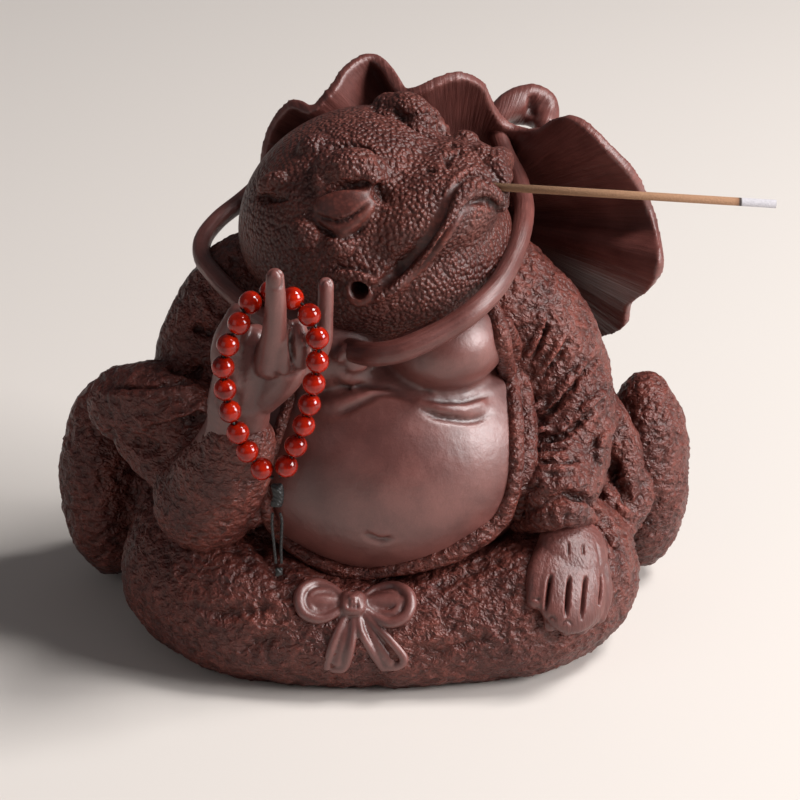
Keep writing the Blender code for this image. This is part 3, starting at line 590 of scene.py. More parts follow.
# %% Lumps of the figure
TORSO = ((0.0, 8.0, 52.0), (48.0, 36.0, 46.0))
SEAT = ((0.0, 2.0, 14.0), (60.0, 44.0, 22.0))
SHOULDERS = ((-31.0, 4.0, 84.0, 17.0), (0.0, 8.0, 88.0, 20.0), (30.0, 4.0, 84.0, 17.0))
LEFT_LEG = ((-18, -6, 22, 22), (-44, -14, 19.5, 21.5), (-32, -31, 15.5, 18), (-6, -38, 12.5, 14))
RIGHT_LEG = ((20, -6, 22, 22), (45, -14, 19.5, 21), (37, -30, 16.5, 18.5), (6, -38, 12.5, 14))
RIGHT_SLEEVE = ((30, 2, 84, 16), (39, 1, 76, 16), (45, -4, 60, 15), (46, -14, 49, 12.5), (44, -26, 46, 10))
LEFT_SLEEVE = ((-31, 4, 86, 16), (-38, 2, 76, 16), (-43, -3, 62, 15), (-42, -16, 51, 15.5))
SLEEVE_BAG = ((-40, -18, 60, 10), (-54, -14, 64, 10.5), (-63, -8, 61, 10))
SLEEVE_LIP = ((-60, -14, 54, 6), (-45, -26, 47, 7), (-32, -31, 44, 6))
RIGHT_DROP = ((54, 4, 56, 7), (61, 0, 42, 7), (58, -8, 28, 6))
INNER_DROP = ((61, 0, 40, 5), (66, -1, 33, 5), (61, -8, 26, 5))
CUFF = ((520, 523, 2.6), (545, 518, 3.4), (572, 512, 3.9), (592, 516, 3.7), (604, 529, 3.2), (612, 543, 2.4))
RIGHT_FLAP = ((69.5, 17.0, 30.0), (12.0, 16.0, 27.5))
LEFT_FLAP = ((-71.0, 15.0, 29.0), (12.5, 16.0, 27.5))
RIGHT_SKIRT = ((44, 20, 26, 22), (58, 20, 26, 19), (66, 19, 25, 14))
LEFT_SKIRT = ((-44, 20, 26, 22), (-58, 19, 26, 19), (-67, 17, 25, 14))
BELLY = ((3.0, -6.0, 50.0), (41.0, 39.0, 34.0))
RIGHT_BREAST = ((16.3, -19.0, 85.0), (15.8, 18.0, 12.5))
LEFT_BREAST = ((-13.0, -17.0, 84.0), (17.0, 17.0, 12.5))
NECK = ((0.0, -2.0, 78.0, 22.0), (0.0, -3.0, 96.0, 20.0))

HEAD_PLACE = Vector((1.0, -6.0, 110.0))
HEAD_AHEAD = Vector((0.81, -0.483, 0.336)).normalized()
HEAD_LEFT = Vector((0.45, 0.872, 0.166)).normalized()
HEAD_UP = HEAD_AHEAD.cross(HEAD_LEFT).normalized()
HEAD = Matrix.Translation(HEAD_PLACE) @ Matrix((HEAD_AHEAD, HEAD_LEFT, HEAD_UP)).transposed().to_4x4()
HEAD_MIRROR = HEAD @ Matrix.Diagonal((1, -1, 1, 1)) @ HEAD.inverted()
CRANIUM = ((-6.0, 0.0, 2.0), (30.0, 31.0, 26.0))
MUZZLE = ((12.0, 0.0, 2.5), (24.0, 24.0, 13.3))
THROAT = ((4.5, 0.0, -10.5), (25.5, 27.0, 20.0))
JOWL = ((0.0, -21.0, -6.0), (17.0, 10.0, 13.0))

ROBE_EGGS = (TORSO, SEAT, RIGHT_FLAP, LEFT_FLAP)
ROBE_ROLLS = (SHOULDERS, LEFT_LEG, RIGHT_LEG, LEFT_SKIRT, RIGHT_SKIRT)
RIGHT_ROLLS = (RIGHT_SLEEVE, RIGHT_DROP, INNER_DROP)
LEFT_ROLLS = (LEFT_SLEEVE, SLEEVE_BAG, SLEEVE_LIP)
SKIN_EGGS = (BELLY, RIGHT_BREAST, LEFT_BREAST)


def head_lumps(bm):
    for egg in (CRANIUM, MUZZLE, THROAT):
        ball(bm, *egg, frame=HEAD, detail=5)
    ball(bm, *JOWL, frame=HEAD, detail=4)
    ball(bm, *JOWL, frame=HEAD_MIRROR @ HEAD, detail=4)


def sleeve(name, rolls, laid, grain, passes):
    """A sleeve of rolls, with thinner ones laid on it."""
    bm = bmesh.new()
    for roll in rolls:
        limb(bm, roll, detail=3)
    for roll in laid:
        lay(bm, clay_tree, roll, sink=0.1)
    return knead(make(name, bm), grain, passes)


bm = bmesh.new()
head_lumps(bm)
for egg in (*ROBE_EGGS, *SKIN_EGGS):
    ball(bm, *egg, detail=4)
for roll in (*ROBE_ROLLS, *RIGHT_ROLLS, *LEFT_ROLLS, NECK):
    limb(bm, roll)
dummy = knead(make("dummy", bm), grain=1.7, passes=4)
clay_tree = tree_of(dummy)
bpy.data.objects.remove(dummy)
print("dummy traced")

# %% [markdown]
# ## Belly and breasts
#
# The skin is the smoothest part of the figure: it was burnished with a wet finger before firing.
# A soft fold lies across the top of the belly, and a smile-shaped groove makes the navel.

# %% Belly
CHEST_FOLDS = (
    ((334, 360, 1.2), (346, 377, 1.5), (366, 377, 1.5), (380, 373, 1.4), (395, 382, 1.0)),
    ((322, 405, 1.2), (347, 402, 1.6), (373, 395, 1.4), (392, 396, 0.9)),
    ((420, 403, 1.2), (438, 408, 1.8), (460, 410, 1.8), (482, 403, 1.2)),
)
CHEST_KNOT = ((340, 358, 1.5), (344, 351, 1.8), (354, 349, 1.9), (363, 355, 1.9), (362, 365, 1.6),
              (353, 367, 1.4), (350, 361, 1.2))
SKIN_STROKES = (
    (((364, 531), (371, 537), (382, 541), (393, 536)), 0.8, -1.1),
    (((366, 527), (380, 532), (392, 531)), 1.6, 0.3),
    (((416, 400), (440, 401), (468, 400), (494, 393)), 0.6, -0.9),
    (((416, 405), (434, 415), (452, 419), (473, 420), (494, 413)), 0.8, -1.3),
    (((322, 416), (342, 412), (363, 402), (380, 394), (397, 395), (416, 404)), 0.9, -1.1),
    (((335, 380), (344, 387), (366, 386), (387, 388), (408, 394)), 0.7, -1.0),
)
bm = bmesh.new()
for egg in SKIN_EGGS:
    ball(bm, *egg, detail=5)
limb(bm, NECK, detail=3)
skin = knead(make("belly", bm), grain=1.2, passes=5)
skin_tree = tree_of(skin)
bm = reopen(skin)
for fold in CHEST_FOLDS:
    lay(bm, skin_tree, fold, sink=0.3)
lay(bm, skin_tree, CHEST_KNOT, sink=-0.9)
skin = knead(make("belly", bm), grain=0.85, passes=5)
strokes(skin, SKIN_STROKES)
show_clay(skin, SMOOTH_CLAY)

# %% [markdown]
# ## The robe
#
# The robe's clay was torn with a stiff tool while it was soft, so its surface is all chips and dents.
# Its open front has a thick rolled edge that frames the belly.

# %% Robe body
ROBE_EDGE = ((489, 300, 2.1), (496, 318, 2.3), (502, 344, 2.5), (508, 375, 2.5), (514, 410, 2.3),
             (516, 445, 2.1), (514, 476, 2.2), (508, 503, 2.5), (497, 522, 2.8), (476, 538, 2.9),
             (450, 553, 2.8), (422, 563, 2.4), (394, 569, 2.1), (366, 573, 2.0), (342, 571, 2.0),
             (318, 562, 2.0), (297, 549, 2.0), (280, 534, 2.0), (267, 511, 2.0), (264, 485, 2.0),
             (272, 452, 1.9), (283, 420, 1.8), (291, 392, 1.7))
ROBE_STROKES = (
    (((202, 614), (229, 615), (255, 610), (279, 607)), 1.6, -1.5),
    (((237, 653), (262, 643), (287, 634)), 1.6, -1.3),
    (((406, 653), (442, 650), (474, 641), (492, 636)), 1.6, -1.2),
    (((426, 590), (459, 576), (499, 556)), 1.6, -1.3),
    (((254, 530), (264, 551), (280, 571), (300, 584)), 2.2, -2.5),
)
bm = bmesh.new()
for egg in ROBE_EGGS:
    ball(bm, *egg, detail=5)
for roll in ROBE_ROLLS:
    limb(bm, roll, detail=3)
robe = knead(make("robe", bm), grain=0.95, passes=2)
strokes(robe, ROBE_STROKES)
roughen(robe, chip=3.4, depth=0.6, dent=10.0, dent_depth=0.8)
cut_level(robe)
show_clay(robe, ROUGH_CLAY)

ROBE_SIDE = ((505, 325, 2.2), (515, 358, 2.8), (523, 400, 3.0), (526, 440, 3.0), (524, 480, 3.0),
             (518, 512, 2.6))
bm = bmesh.new()
lay(bm, clay_tree, ROBE_EDGE, sink=-0.25)
lay(bm, clay_tree, ROBE_SIDE, sink=0.5)
robe_edge = knead(make("robe_edge", bm), grain=0.5, passes=3)
roughen(robe_edge, chip=2.4, depth=0.2, dent=6.0, dent_depth=0.3)
show_clay(robe_edge, ROUGH_CLAY)

# %% Right sleeve
RIGHT_FOLDS = (
    (((549, 310), (543, 333), (535, 354), (528, 366)), 0.8, -1.7),
    (((570, 335), (559, 355), (547, 370), (540, 380)), 0.8, -1.5),
    (((599, 356), (587, 370), (572, 388), (556, 406), (539, 419), (526, 423)), 0.9, -2.4),
    (((615, 389), (599, 405), (579, 424), (557, 437), (531, 442)), 0.9, -2.2),
    (((528, 451), (549, 448), (570, 448)), 0.7, -1.3),
    (((532, 463), (558, 461), (581, 461)), 0.7, -1.3),
    (((540, 476), (562, 474), (590, 476)), 0.7, -1.0),
    (((627, 424), (613, 445), (612, 471), (623, 494), (637, 507)), 2.0, -4.6),
    (((535, 506), (557, 497), (576, 496), (594, 505), (608, 522), (617, 536)), 1.0, -2.6),
    (((544, 307), (539, 330), (526, 358)), 0.7, 1.5),
    (((565, 332), (552, 354), (537, 375)), 0.7, 1.4),
    (((594, 349), (569, 379), (549, 402), (526, 415)), 0.7, 1.9),
    (((612, 381), (590, 404), (562, 427), (530, 434)), 0.7, 1.9),
    (((617, 424), (601, 441), (598, 457), (604, 487), (633, 516)), 0.8, 1.4),
)
RIGHT_RIDGES = (
    ((590, 350, 0.9), (565, 380, 1.1), (546, 400, 1.1), (524, 413, 0.8)),
    ((608, 381, 0.9), (587, 403, 1.1), (560, 425, 1.1), (530, 432, 0.8)),
    ((618, 414, 1.0), (604, 435, 1.6), (599, 455, 1.7), (604, 486, 1.7), (625, 511, 1.6), (639, 525, 1.2)),
)
rolls = (SHOULDERS[1:], *RIGHT_ROLLS)
right_sleeve = sleeve("right_sleeve", rolls, (CUFF, *RIGHT_RIDGES), grain=0.6, passes=3)
roughen(right_sleeve, chip=3.4, depth=0.45, dent=8.0, dent_depth=0.5)
strokes(right_sleeve, RIGHT_FOLDS)
show_clay(right_sleeve, ROUGH_CLAY)

# %% Left sleeve
LEFT_HEM = ((140, 418, 1.8), (150, 424, 2.2), (168, 420, 2.4), (188, 414, 2.2), (207, 403, 1.8))
FOREARM_SLEEVE = ((205, 500, -28, 13.0), (226, 470, -36, 11.0), (241, 443, -41, 8.4))
LEFT_FOLDS = (
    (((196, 287), (206, 306), (218, 329)), 1.4, 1.2),
    (((168, 311), (190, 324), (213, 338)), 1.5, -2.6),
    (((146, 358), (168, 367), (188, 371), (209, 371)), 1.6, -3.4),
    (((104, 387), (129, 389), (155, 387), (178, 383), (207, 380)), 1.0, -1.7),
    (((103, 396), (119, 393), (150, 394), (180, 391), (206, 388)), 1.6, 1.2),
    (((144, 431), (168, 428), (190, 422), (210, 411)), 1.8, -3.1),
)
rolls = (SHOULDERS[:2], *LEFT_ROLLS, spots(FOREARM_SLEEVE))
left_sleeve = sleeve("left_sleeve", rolls, (LEFT_HEM,), grain=0.75, passes=3)
roughen(left_sleeve, chip=3.4, depth=0.45, dent=8.0, dent_depth=0.5)
strokes(left_sleeve, LEFT_FOLDS)
show_clay(left_sleeve, ROUGH_CLAY)

# %% [markdown]
# ## The hands
#
# Both hands are simple. The raised one is smooth: it bends two fingers to the palm and holds up the string
# with the other two. The lower one is a brushed mitt with four deep slots.

# %% Raised hand
FOREARM = ((205, 500, -28, 12.0), (222, 465, -35, 9.5), (236, 430, -39, 8.0), (240, 400, -41, 8.2))
PALM = ((242, 392, -41, 8.2), (248, 368, -42, 8.0), (254, 348, -43, 6.0))
PALM_EDGE = ((262, 392, -43, 5.5), (280, 372, -44, 6.0), (292, 352, -45, 4.4))
INDEX = ((270, 362, -48, 4.3), (274, 335, -51.5, 3.2), (275.5, 305, -54.0, 2.7), (275, 277, -54.8, 2.25))
MIDDLE = ((284, 366, -50, 2.5), (283, 346, -51.2, 2.5), (282, 326, -50, 2.4))
RING = ((301, 360, -49, 2.5), (300, 342, -50.3, 2.5), (297, 328, -48.5, 2.4))
LITTLE = ((304, 368, -43, 3.2), (322, 345, -43, 2.4), (325, 315, -43, 2.1), (326, 285, -43, 2.0))
THUMB = ((236, 376, -45, 5.4), (229, 348, -45, 4.5), (239, 315, -45, 3.0))
HAND_STROKES = (
    (((291, 328), (291.5, 346), (293, 364)), 0.5, -1.4),
    (((269, 285), (268, 275), (273, 269), (280, 271), (282, 285), (275, 289), (269, 285)), 0.35, -0.55),
    (((321, 292), (322, 282), (327, 279), (331, 284), (331, 292)), 0.35, -0.45),
    (((272, 372), (288, 376), (303, 370)), 0.7, -0.6),
)
bm = bmesh.new()
for roll in (FOREARM, PALM, PALM_EDGE, INDEX, MIDDLE, RING, LITTLE, THUMB):
    limb(bm, spots(roll))
raised_hand = knead(make("raised_hand", bm), grain=0.45, passes=5)
strokes(raised_hand, HAND_STROKES)
show_clay(raised_hand, SMOOTH_CLAY)

# %% Resting hand
HAND_PADS = (((573, 550), (9.5, 9.8, 5.0)), ((569, 588), (9.8, 11.5, 4.2)), ((584, 592), (6.5, 9.5, 4.0)))
FINGERS = (
    ((558, 572, 2.9), (554, 600, 2.6), (550, 624, 2.1)),
    ((573, 572, 2.9), (571, 600, 2.6), (566, 628, 2.1)),
    ((588, 572, 2.9), (587, 600, 2.6), (581, 627, 2.1)),
    ((601, 568, 2.4), (604, 594, 2.3), (599, 616, 2.0)),
)
LOWER_THUMB = ((548, 548, 3.2), (538, 574, 3.0), (535, 600, 2.4))
SLOTS = (
    (((551, 573), (548, 592), (545, 612)), 0.42, -2.3),
    (((570, 575), (568, 596), (566, 618)), 0.42, -2.3),
    (((586, 575), (584, 598), (581, 621)), 0.42, -2.3),
    (((601, 572), (601, 594), (599, 608)), 0.42, -2.2),
    (((568, 541), (568, 556)), 0.35, -0.6),
    (((583, 543), (583, 556)), 0.35, -0.6),
    (((596, 543), (600, 567)), 0.35, -0.5),
    (((530, 598), (531, 610), (539, 612), (541, 600)), 0.35, -0.5),
    (((545, 622), (551, 617), (557, 622)), 0.35, -0.4),
    (((560, 626), (567, 621), (573, 626)), 0.35, -0.4),
)
bm = bmesh.new()
for place, radii in HAND_PADS:
    pad(bm, clay_tree, *place, radii)
for roll in (LOWER_THUMB, *FINGERS):
    lay(bm, clay_tree, roll, sink=-0.3)
resting_hand = knead(make("resting_hand", bm), grain=0.33, passes=18)
strokes(resting_hand, SLOTS)
places, _ = clay_arrays(resting_hand)
put_attribute(resting_hand, "brushed", "FLOAT_VECTOR", places[:, (0, 2, 1)])
show_clay(resting_hand, BRUSHED_CLAY)

# %% [markdown]
# ## The bow
#
# The sash is tied in a flat bow: two loops with a rolled rim, a square knot and two leaf-shaped ends.

# %% Bow
BOW_LOOPS = (
    ((346, 600, 1.0), (332, 588, 1.2), (316, 583, 1.4), (302, 590, 1.5), (299, 602, 1.5), (305, 614, 1.5),
     (320, 619, 1.4), (334, 614, 1.2), (346, 606, 1.0)),
    ((360, 600, 1.0), (374, 590, 1.2), (392, 586, 1.4), (407, 592, 1.5), (411, 604, 1.5), (405, 617, 1.5),
     (390, 623, 1.4), (374, 616, 1.2), (360, 606, 1.0)),
)
BOW_RINGS = (
    ((338, 601, 0.8), (328, 592, 0.9), (314, 593, 1.0), (309, 602, 1.0), (315, 612, 1.0), (328, 611, 0.9),
     (338, 603, 0.8)),
    ((368, 602, 0.8), (378, 595, 0.9), (393, 594, 1.0), (400, 603, 1.0), (393, 613, 1.0), (379, 612, 0.9),
     (368, 604, 0.8)),
)
BOW_FILLS = (
    ((340, 602, 1.6), (322, 602, 2.6), (306, 602, 2.2)),
    ((366, 603, 1.6), (384, 603, 2.6), (402, 604, 2.2)),
)
BOW_KNOT = ((348, 598, 1.9), (348, 608, 1.9), (358, 608, 1.9), (358, 598, 1.9), (353, 603, 2.4))
BOW_TAILS = (
    ((347, 613, 1.0), (338, 630, 1.1), (331, 648, 1.2), (327, 666, 1.2)),
    ((354, 613, 1.0), (353, 632, 1.1), (350, 650, 1.2), (344, 667, 1.2), (334, 669, 1.1)),
    ((358, 613, 1.0), (361, 632, 1.1), (371, 650, 1.2), (383, 667, 1.2)),
    ((363, 613, 1.0), (378, 628, 1.1), (392, 642, 1.2), (404, 658, 1.2), (398, 666, 1.1), (386, 667, 1.1)),
)
BOW_TAIL_FILLS = (
    ((350, 615, 1.2), (344, 638, 1.6), (338, 660, 1.8)),
    ((360, 615, 1.2), (376, 640, 1.6), (390, 660, 1.8)),
)
bm = bmesh.new()
for roll in (*BOW_LOOPS, *BOW_RINGS, BOW_KNOT):
    lay(bm, clay_tree, roll, sink=-0.6)
for roll in BOW_TAILS:
    lay(bm, clay_tree, roll, sink=-0.3)
for roll in (*BOW_FILLS, *BOW_TAIL_FILLS):
    lay(bm, clay_tree, roll, sink=0.3)
bow = knead(make("bow", bm), grain=0.35, passes=3)
strokes(bow, [(((349 + 4 * i, 597), (349 + 4 * i, 610)), 0.5, -0.6) for i in range(3)])
show_clay(bow, SMOOTH_CLAY)

# %% [markdown]
# ## The leaf hat
#
# A lotus leaf hangs behind the head as a hat. It is a thin wavy bowl, pulled out from its middle to its rim,
# with fine lines that fan out over it.

# %% Leaf
LEAF_RIM = ((256, 205, 30), (261, 180, 30), (262, 157, 30), (265, 136, 31), (272, 115, 32), (285, 98, 31),
            (295, 93, 29), (310, 100, 25), (321, 91, 26), (332, 79, 27), (347, 57, 33), (368, 46, 37),
            (385, 57, 34), (402, 81, 26), (420, 79, 24), (445, 68, 26), (465, 66, 28), (483, 76, 31),
            (493, 97, 35), (504, 113, 37), (520, 119, 36), (542, 117, 30), (565, 106, 22), (585, 115, 17),
            (608, 138, 13), (633, 165, 14), (648, 195, 20), (657, 222, 17), (660, 250, 9), (652, 274, 11),
            (629, 293, 25), (624, 314, 29), (598, 326, 37), (545, 332, 44), (450, 345, 46), (360, 330, 46),
            (290, 270, 40))
LEAF_MIDDLE = (455, 215, 44)
LEAF_BOWL = 7.0
LEAF_THICK = 2.8
LEAF_RINGS = 16
LEAF_BACK_LOBE = ((499, 114, 37, 3.0), (510, 106, 39, 3.8), (524, 98, 41, 3.6), (536, 96, 42, 3.2),
                  (545, 102, 42, 3.2), (548, 114, 40, 3.2), (546, 126, 36, 3.4))
LEAF_BACK_ROLL = ((516, 112, 41, 3.6), (530, 111, 42, 4.0), (541, 117, 40, 3.8))
LEAF_SLIT = (((530, 92), (532, 104), (531, 120)), 1.2, -1.4)

rim = smooth_path([*spots(LEAF_RIM), spots(LEAF_RIM)[0]], 2.0)[:-1]
leaf_middle = np.array(spot(*LEAF_MIDDLE))
disc = bmesh.new()
heart = disc.verts.new(leaf_middle)
rows = []
for ring in range(1, LEAF_RINGS + 1):
    share = ring / LEAF_RINGS
    drop = np.array((0.0, LEAF_BOWL * share**2, 0.0))
    rows.append([disc.verts.new(leaf_middle + (edge - leaf_middle) * share - drop) for edge in rim])
for i in range(len(rim)):
    j = (i + 1) % len(rim)
    disc.faces.new((heart, rows[0][i], rows[0][j]))
    for inner, outer in zip(rows, rows[1:]):
        disc.faces.new((inner[i], outer[i], outer[j], inner[j]))
leaf = make("leaf", disc)
thick = leaf.modifiers.new("thick", "SOLIDIFY")
thick.thickness = LEAF_THICK
thick.offset = 0
settle(leaf)
bm = reopen(leaf)
limb(bm, spots(LEAF_BACK_LOBE))
limb(bm, spots(LEAF_BACK_ROLL))
leaf = knead(make("leaf_hat", bm), grain=0.66, passes=3)
strokes(leaf, (LEAF_SLIT,))


def fan_lines(obj, middle, lines, height):
    """Raises fine lines that fan out from the middle of the leaf, and marks how its brush lines run."""
    places, normals = clay_arrays(obj)
    out = places - middle
    turn = np.arctan2(out[:, 2], out[:, 0])
    far = np.hypot(out[:, 0], out[:, 2])
    put_attribute(obj, "brushed", "FLOAT_VECTOR", np.stack([turn * 45.0, far, 0 * far], axis=1))
    wave = np.array([noise.noise(Vector((t * lines, f * 0.03, 0.0))) for t, f in zip(turn, far)])
    broad = np.array([noise.noise(Vector((t * lines * 0.22, f * 0.02, 4.0))) for t, f in zip(turn, far)])
    put_places(obj, places + normals * ((wave + 1.2 * broad) * height * np.clip(far / 40, 0, 1))[:, None])


fan_lines(leaf, leaf_middle, lines=34.0, height=0.16)
show_clay(leaf, BRUSHED_CLAY)

# %% Strap
STRAP = ((268, 178, 33, 2.4), (243, 200, 28, 2.4), (218, 220, 20, 2.4), (203, 240, 10, 2.4),
         (203, 258, 1, 2.4), (213, 273, -7, 2.4), (231, 292, -16, 2.5), (262, 318, -26, 2.6),
         (300, 336, -27, 2.6), (336, 345, -28, 2.8), (362, 353, -36, 3.0), (380, 354, -41, 3.0),
         (407, 348, -42, 3.0), (445, 330, -39, 2.9), (474, 310, -35.5, 2.8), (497, 286, -28.5, 2.7),
         (514, 255, -18, 2.6), (522, 229, -9, 2.6), (524, 205, 3, 2.6), (518, 180, 14, 2.6),
         (505, 155, 25, 2.6), (498, 135, 32, 2.6))
STRAP_RADIUS = 2.6
STRAP_STEP = 0.5
bm = bmesh.new()
limb(bm, spots(STRAP), step=0.2, detail=3)
strap = knead(make("strap", bm), grain=0.6, passes=4)
places, _ = clay_arrays(strap)
strap_line = smooth_path(spots(STRAP), STRAP_STEP)[:, :3]
nearest, _ = nearest_on(strap_line, places)
ahead = np.gradient(strap_line, axis=0)[nearest]
ahead /= np.linalg.norm(ahead, axis=1)[:, None]
off = places - strap_line[nearest]
side = np.cross(ahead, (0.0, 0.0, 1.0))
turn = np.arctan2(off[:, 2], (off * side).sum(1))
brushed = np.stack([turn * STRAP_RADIUS, nearest * STRAP_STEP, 0 * turn], axis=1)
put_attribute(strap, "brushed", "FLOAT_VECTOR", brushed)
show_clay(strap, BRUSHED_CLAY)

# %% [markdown]
# ## The head
#
# The head is turned and tilted, so it has a frame of its own. Eyes, brows, lips and cheeks of the near side
# are mirrored to the far side. The eyes are closed, and the mouth runs from a round smoke hole to the snout.

# %% Head
BROW = (((353, 169), (8.0, 5.4, 5.4)), ((371, 177), (4.0, 4.2, 4.4)), ((330, 166), (4.2, 4.4, 4.0)),
        ((322, 180), (2.6, 3.6, 2.8)))
EYE_BALL = ((344, 203), (7.5, 5.8, 3.1))
LOWER_LID = ((315, 214, 0.8), (330, 224, 1.4), (344, 227, 1.6), (358, 219, 1.4), (371, 204, 0.8))
LIP = ((378, 297, 1.6), (394, 285, 2.4), (412, 267, 2.8), (431, 244, 3.0), (446, 222, 3.0), (456, 205, 3.0),
       (466, 192, 2.9), (478, 188, 2.8), (490, 193, 2.6), (501, 203, 2.2))
HOLE_RIM = ((348, 287, 0.9), (350, 295, 1.2), (357, 301, 1.4), (366, 300, 1.2), (371, 293, 0.8))
CHEEK_FOLD = ((329, 274, 1.2), (345, 273, 2.0), (362, 276, 1.8), (376, 282, 1.2))
WARTS = (((273, 184), (5.0, 2.8, 3.2)), ((311, 144), (3.6, 3.2, 2.0)), ((303, 235), (4.4, 4.0, 2.4)),
         ((340, 246), (3.6, 3.2, 1.8)))
SNOUT_BUMPS = (((466, 138), (3.2, 3.0, 2.0)), ((484, 152), (2.6, 2.6, 1.8)), ((504, 175), (2.6, 2.8, 2.2)))
MOUTH = ((368, 293), (383, 284), (402, 267), (421, 247), (437, 222), (446, 203), (456, 187))
LIP_GROOVE = ((404, 286), (421, 269), (440, 244), (456, 223), (467, 208), (479, 202), (492, 204), (500, 215))
FACE_STROKES = (
    (MOUTH, 1.5, -2.2),
    (((448, 199), (458, 184), (468, 176), (478, 176), (489, 182), (499, 188)), 0.8, -0.9),
    (((440, 205), (450, 186), (461, 173), (475, 170), (487, 175)), 0.8, 0.8),
    (LIP_GROOVE, 0.9, -1.6),
    (((330, 269), (345, 267), (364, 270), (378, 276)), 0.6, -0.9),
    (((256, 196), (272, 199), (290, 197)), 0.9, -1.8),
    (((392, 107), (402, 117), (415, 127), (428, 134), (437, 140)), 0.9, -1.8),
)
EYE_STROKES = (
    (((313, 212), (325, 219), (338, 222), (350, 218), (361, 210), (374, 198)), 0.5, -1.2),
    (((314, 221), (328, 233), (344, 238), (359, 232), (370, 217)), 0.7, -1.3),
    (((312, 203), (320, 193), (334, 187), (350, 185), (366, 185), (384, 189)), 0.8, -2.2),
    (((377, 184), (382, 193), (378, 204)), 1.9, -2.2),
    (((321, 156), (334, 147), (351, 144), (368, 149), (381, 163), (387, 181)), 0.9, -1.3),
    (((423, 174), (430, 169), (437, 172)), 0.7, -1.4),
    (((445, 154), (447, 162), (447, 169)), 0.8, -1.5),
)
MOUTH_HOLE = (359, 290)
MOUTH_BORE = 4.6
MOUTH_DEPTH = 14.0
STICK_SPOT = (499, 187)
STICK_FAR = (776, 204)
STICK_WIDTH = 2.0
STICK_ROOM = 0.6
STICK_INSERT = 12.0
STICK_CLEAR = 0.3
DRILL_START = 4.0
BURN_SPOTS = ((733, 204), (742, 204))

bm = bmesh.new()
head_lumps(bm)
head = knead(make("head_lumps", bm), grain=1.2, passes=5)
head_tree = tree_of(head)
bm = reopen(head)
for place, radii in BROW:
    pad(bm, head_tree, *place, radii, sink=0.4, mirror=HEAD_MIRROR)
pad(bm, head_tree, *EYE_BALL[0], EYE_BALL[1], sink=0.6, mirror=HEAD_MIRROR)
lay(bm, head_tree, LOWER_LID, sink=0.1, mirror=HEAD_MIRROR)
lay(bm, head_tree, LIP, sink=0.15, mirror=HEAD_MIRROR)
lay(bm, head_tree, CHEEK_FOLD, sink=0.3, mirror=HEAD_MIRROR)
lay(bm, head_tree, HOLE_RIM, sink=0.1)
for place, radii in (*WARTS, *SNOUT_BUMPS):
    pad(bm, head_tree, *place, radii)
head = knead(make("head", bm), grain=0.5, passes=6)
strokes(head, FACE_STROKES)
strokes(head, EYE_STROKES, mirror=HEAD_MIRROR)


def rod(name, start, end, radius, sides=32):
    """A round bar from one point to another."""
    start, end = Vector(start), Vector(end)
    turn = (end - start).to_track_quat("Z", "Y").to_matrix().to_4x4()
    place = Matrix.Translation((start + end) / 2) @ turn
    size = {"radius1": radius, "radius2": radius, "depth": (end - start).length}
    bm = bmesh.new()
    bmesh.ops.create_cone(bm, cap_ends=True, segments=sides, matrix=place, **size)
    return make(name, bm)


def drill(obj, cutter):
    hole = obj.modifiers.new(cutter.name, "BOOLEAN")
    hole.operation = "DIFFERENCE"
    hole.solver = "EXACT"
    hole.object = cutter
    settle(obj)
    bpy.data.objects.remove(cutter)


head_tree = tree_of(head)
stick_at, _, _, _ = head_tree.ray_cast(EYE, sight(*STICK_SPOT))
stick_far = spot(*STICK_FAR, stick_at.y)
stick_way = (stick_far - stick_at).normalized()
corner, normal, _, _ = head_tree.ray_cast(EYE, sight(*MOUTH_HOLE))
start, end = corner + normal * DRILL_START, corner - normal * MOUTH_DEPTH
drill(head, rod("smoke_hole", start, end, MOUTH_BORE / 2))
start, end = stick_at + stick_way * DRILL_START, stick_at - stick_way * STICK_INSERT
drill(head, rod("stick_hole", start, end, (STICK_WIDTH + STICK_ROOM) / 2))

BURNISHED = (
    (((322, 205), (336, 201), (350, 199), (360, 198)), 3.8, HEAD_MIRROR),
    (((320, 219), (331, 228), (344, 231), (357, 225), (366, 212)), 1.8, HEAD_MIRROR),
    (MOUTH, 1.3, None),
    (LIP_GROOVE, 0.8, None),
    (((350, 293), (357, 300), (367, 299)), 1.6, None),
)
head_tree = tree_of(head)
places, _ = clay_arrays(head)
burnished = np.zeros(len(places))
for line, reach, mirror in BURNISHED:
    path = smooth_path([place[:3] for place in traced(head_tree, line)], 0.5)
    paths = [path, [mirror @ Vector(place) for place in path]] if mirror else [path]
    for path in paths:
        _, far = nearest_on(path, places)
        burnished = np.maximum(burnished, np.clip((1.3 * reach - far) / (0.5 * reach), 0, 1))
put_attribute(head, "burnished", "FLOAT", burnished)
show_clay(head, WARTY_CLAY)

# %% [markdown]
# ## The incense stick
#
# The stick is brown wood powder pressed to a thin rod. Its tip has burnt to pale ash, with a charred ring
# behind it.

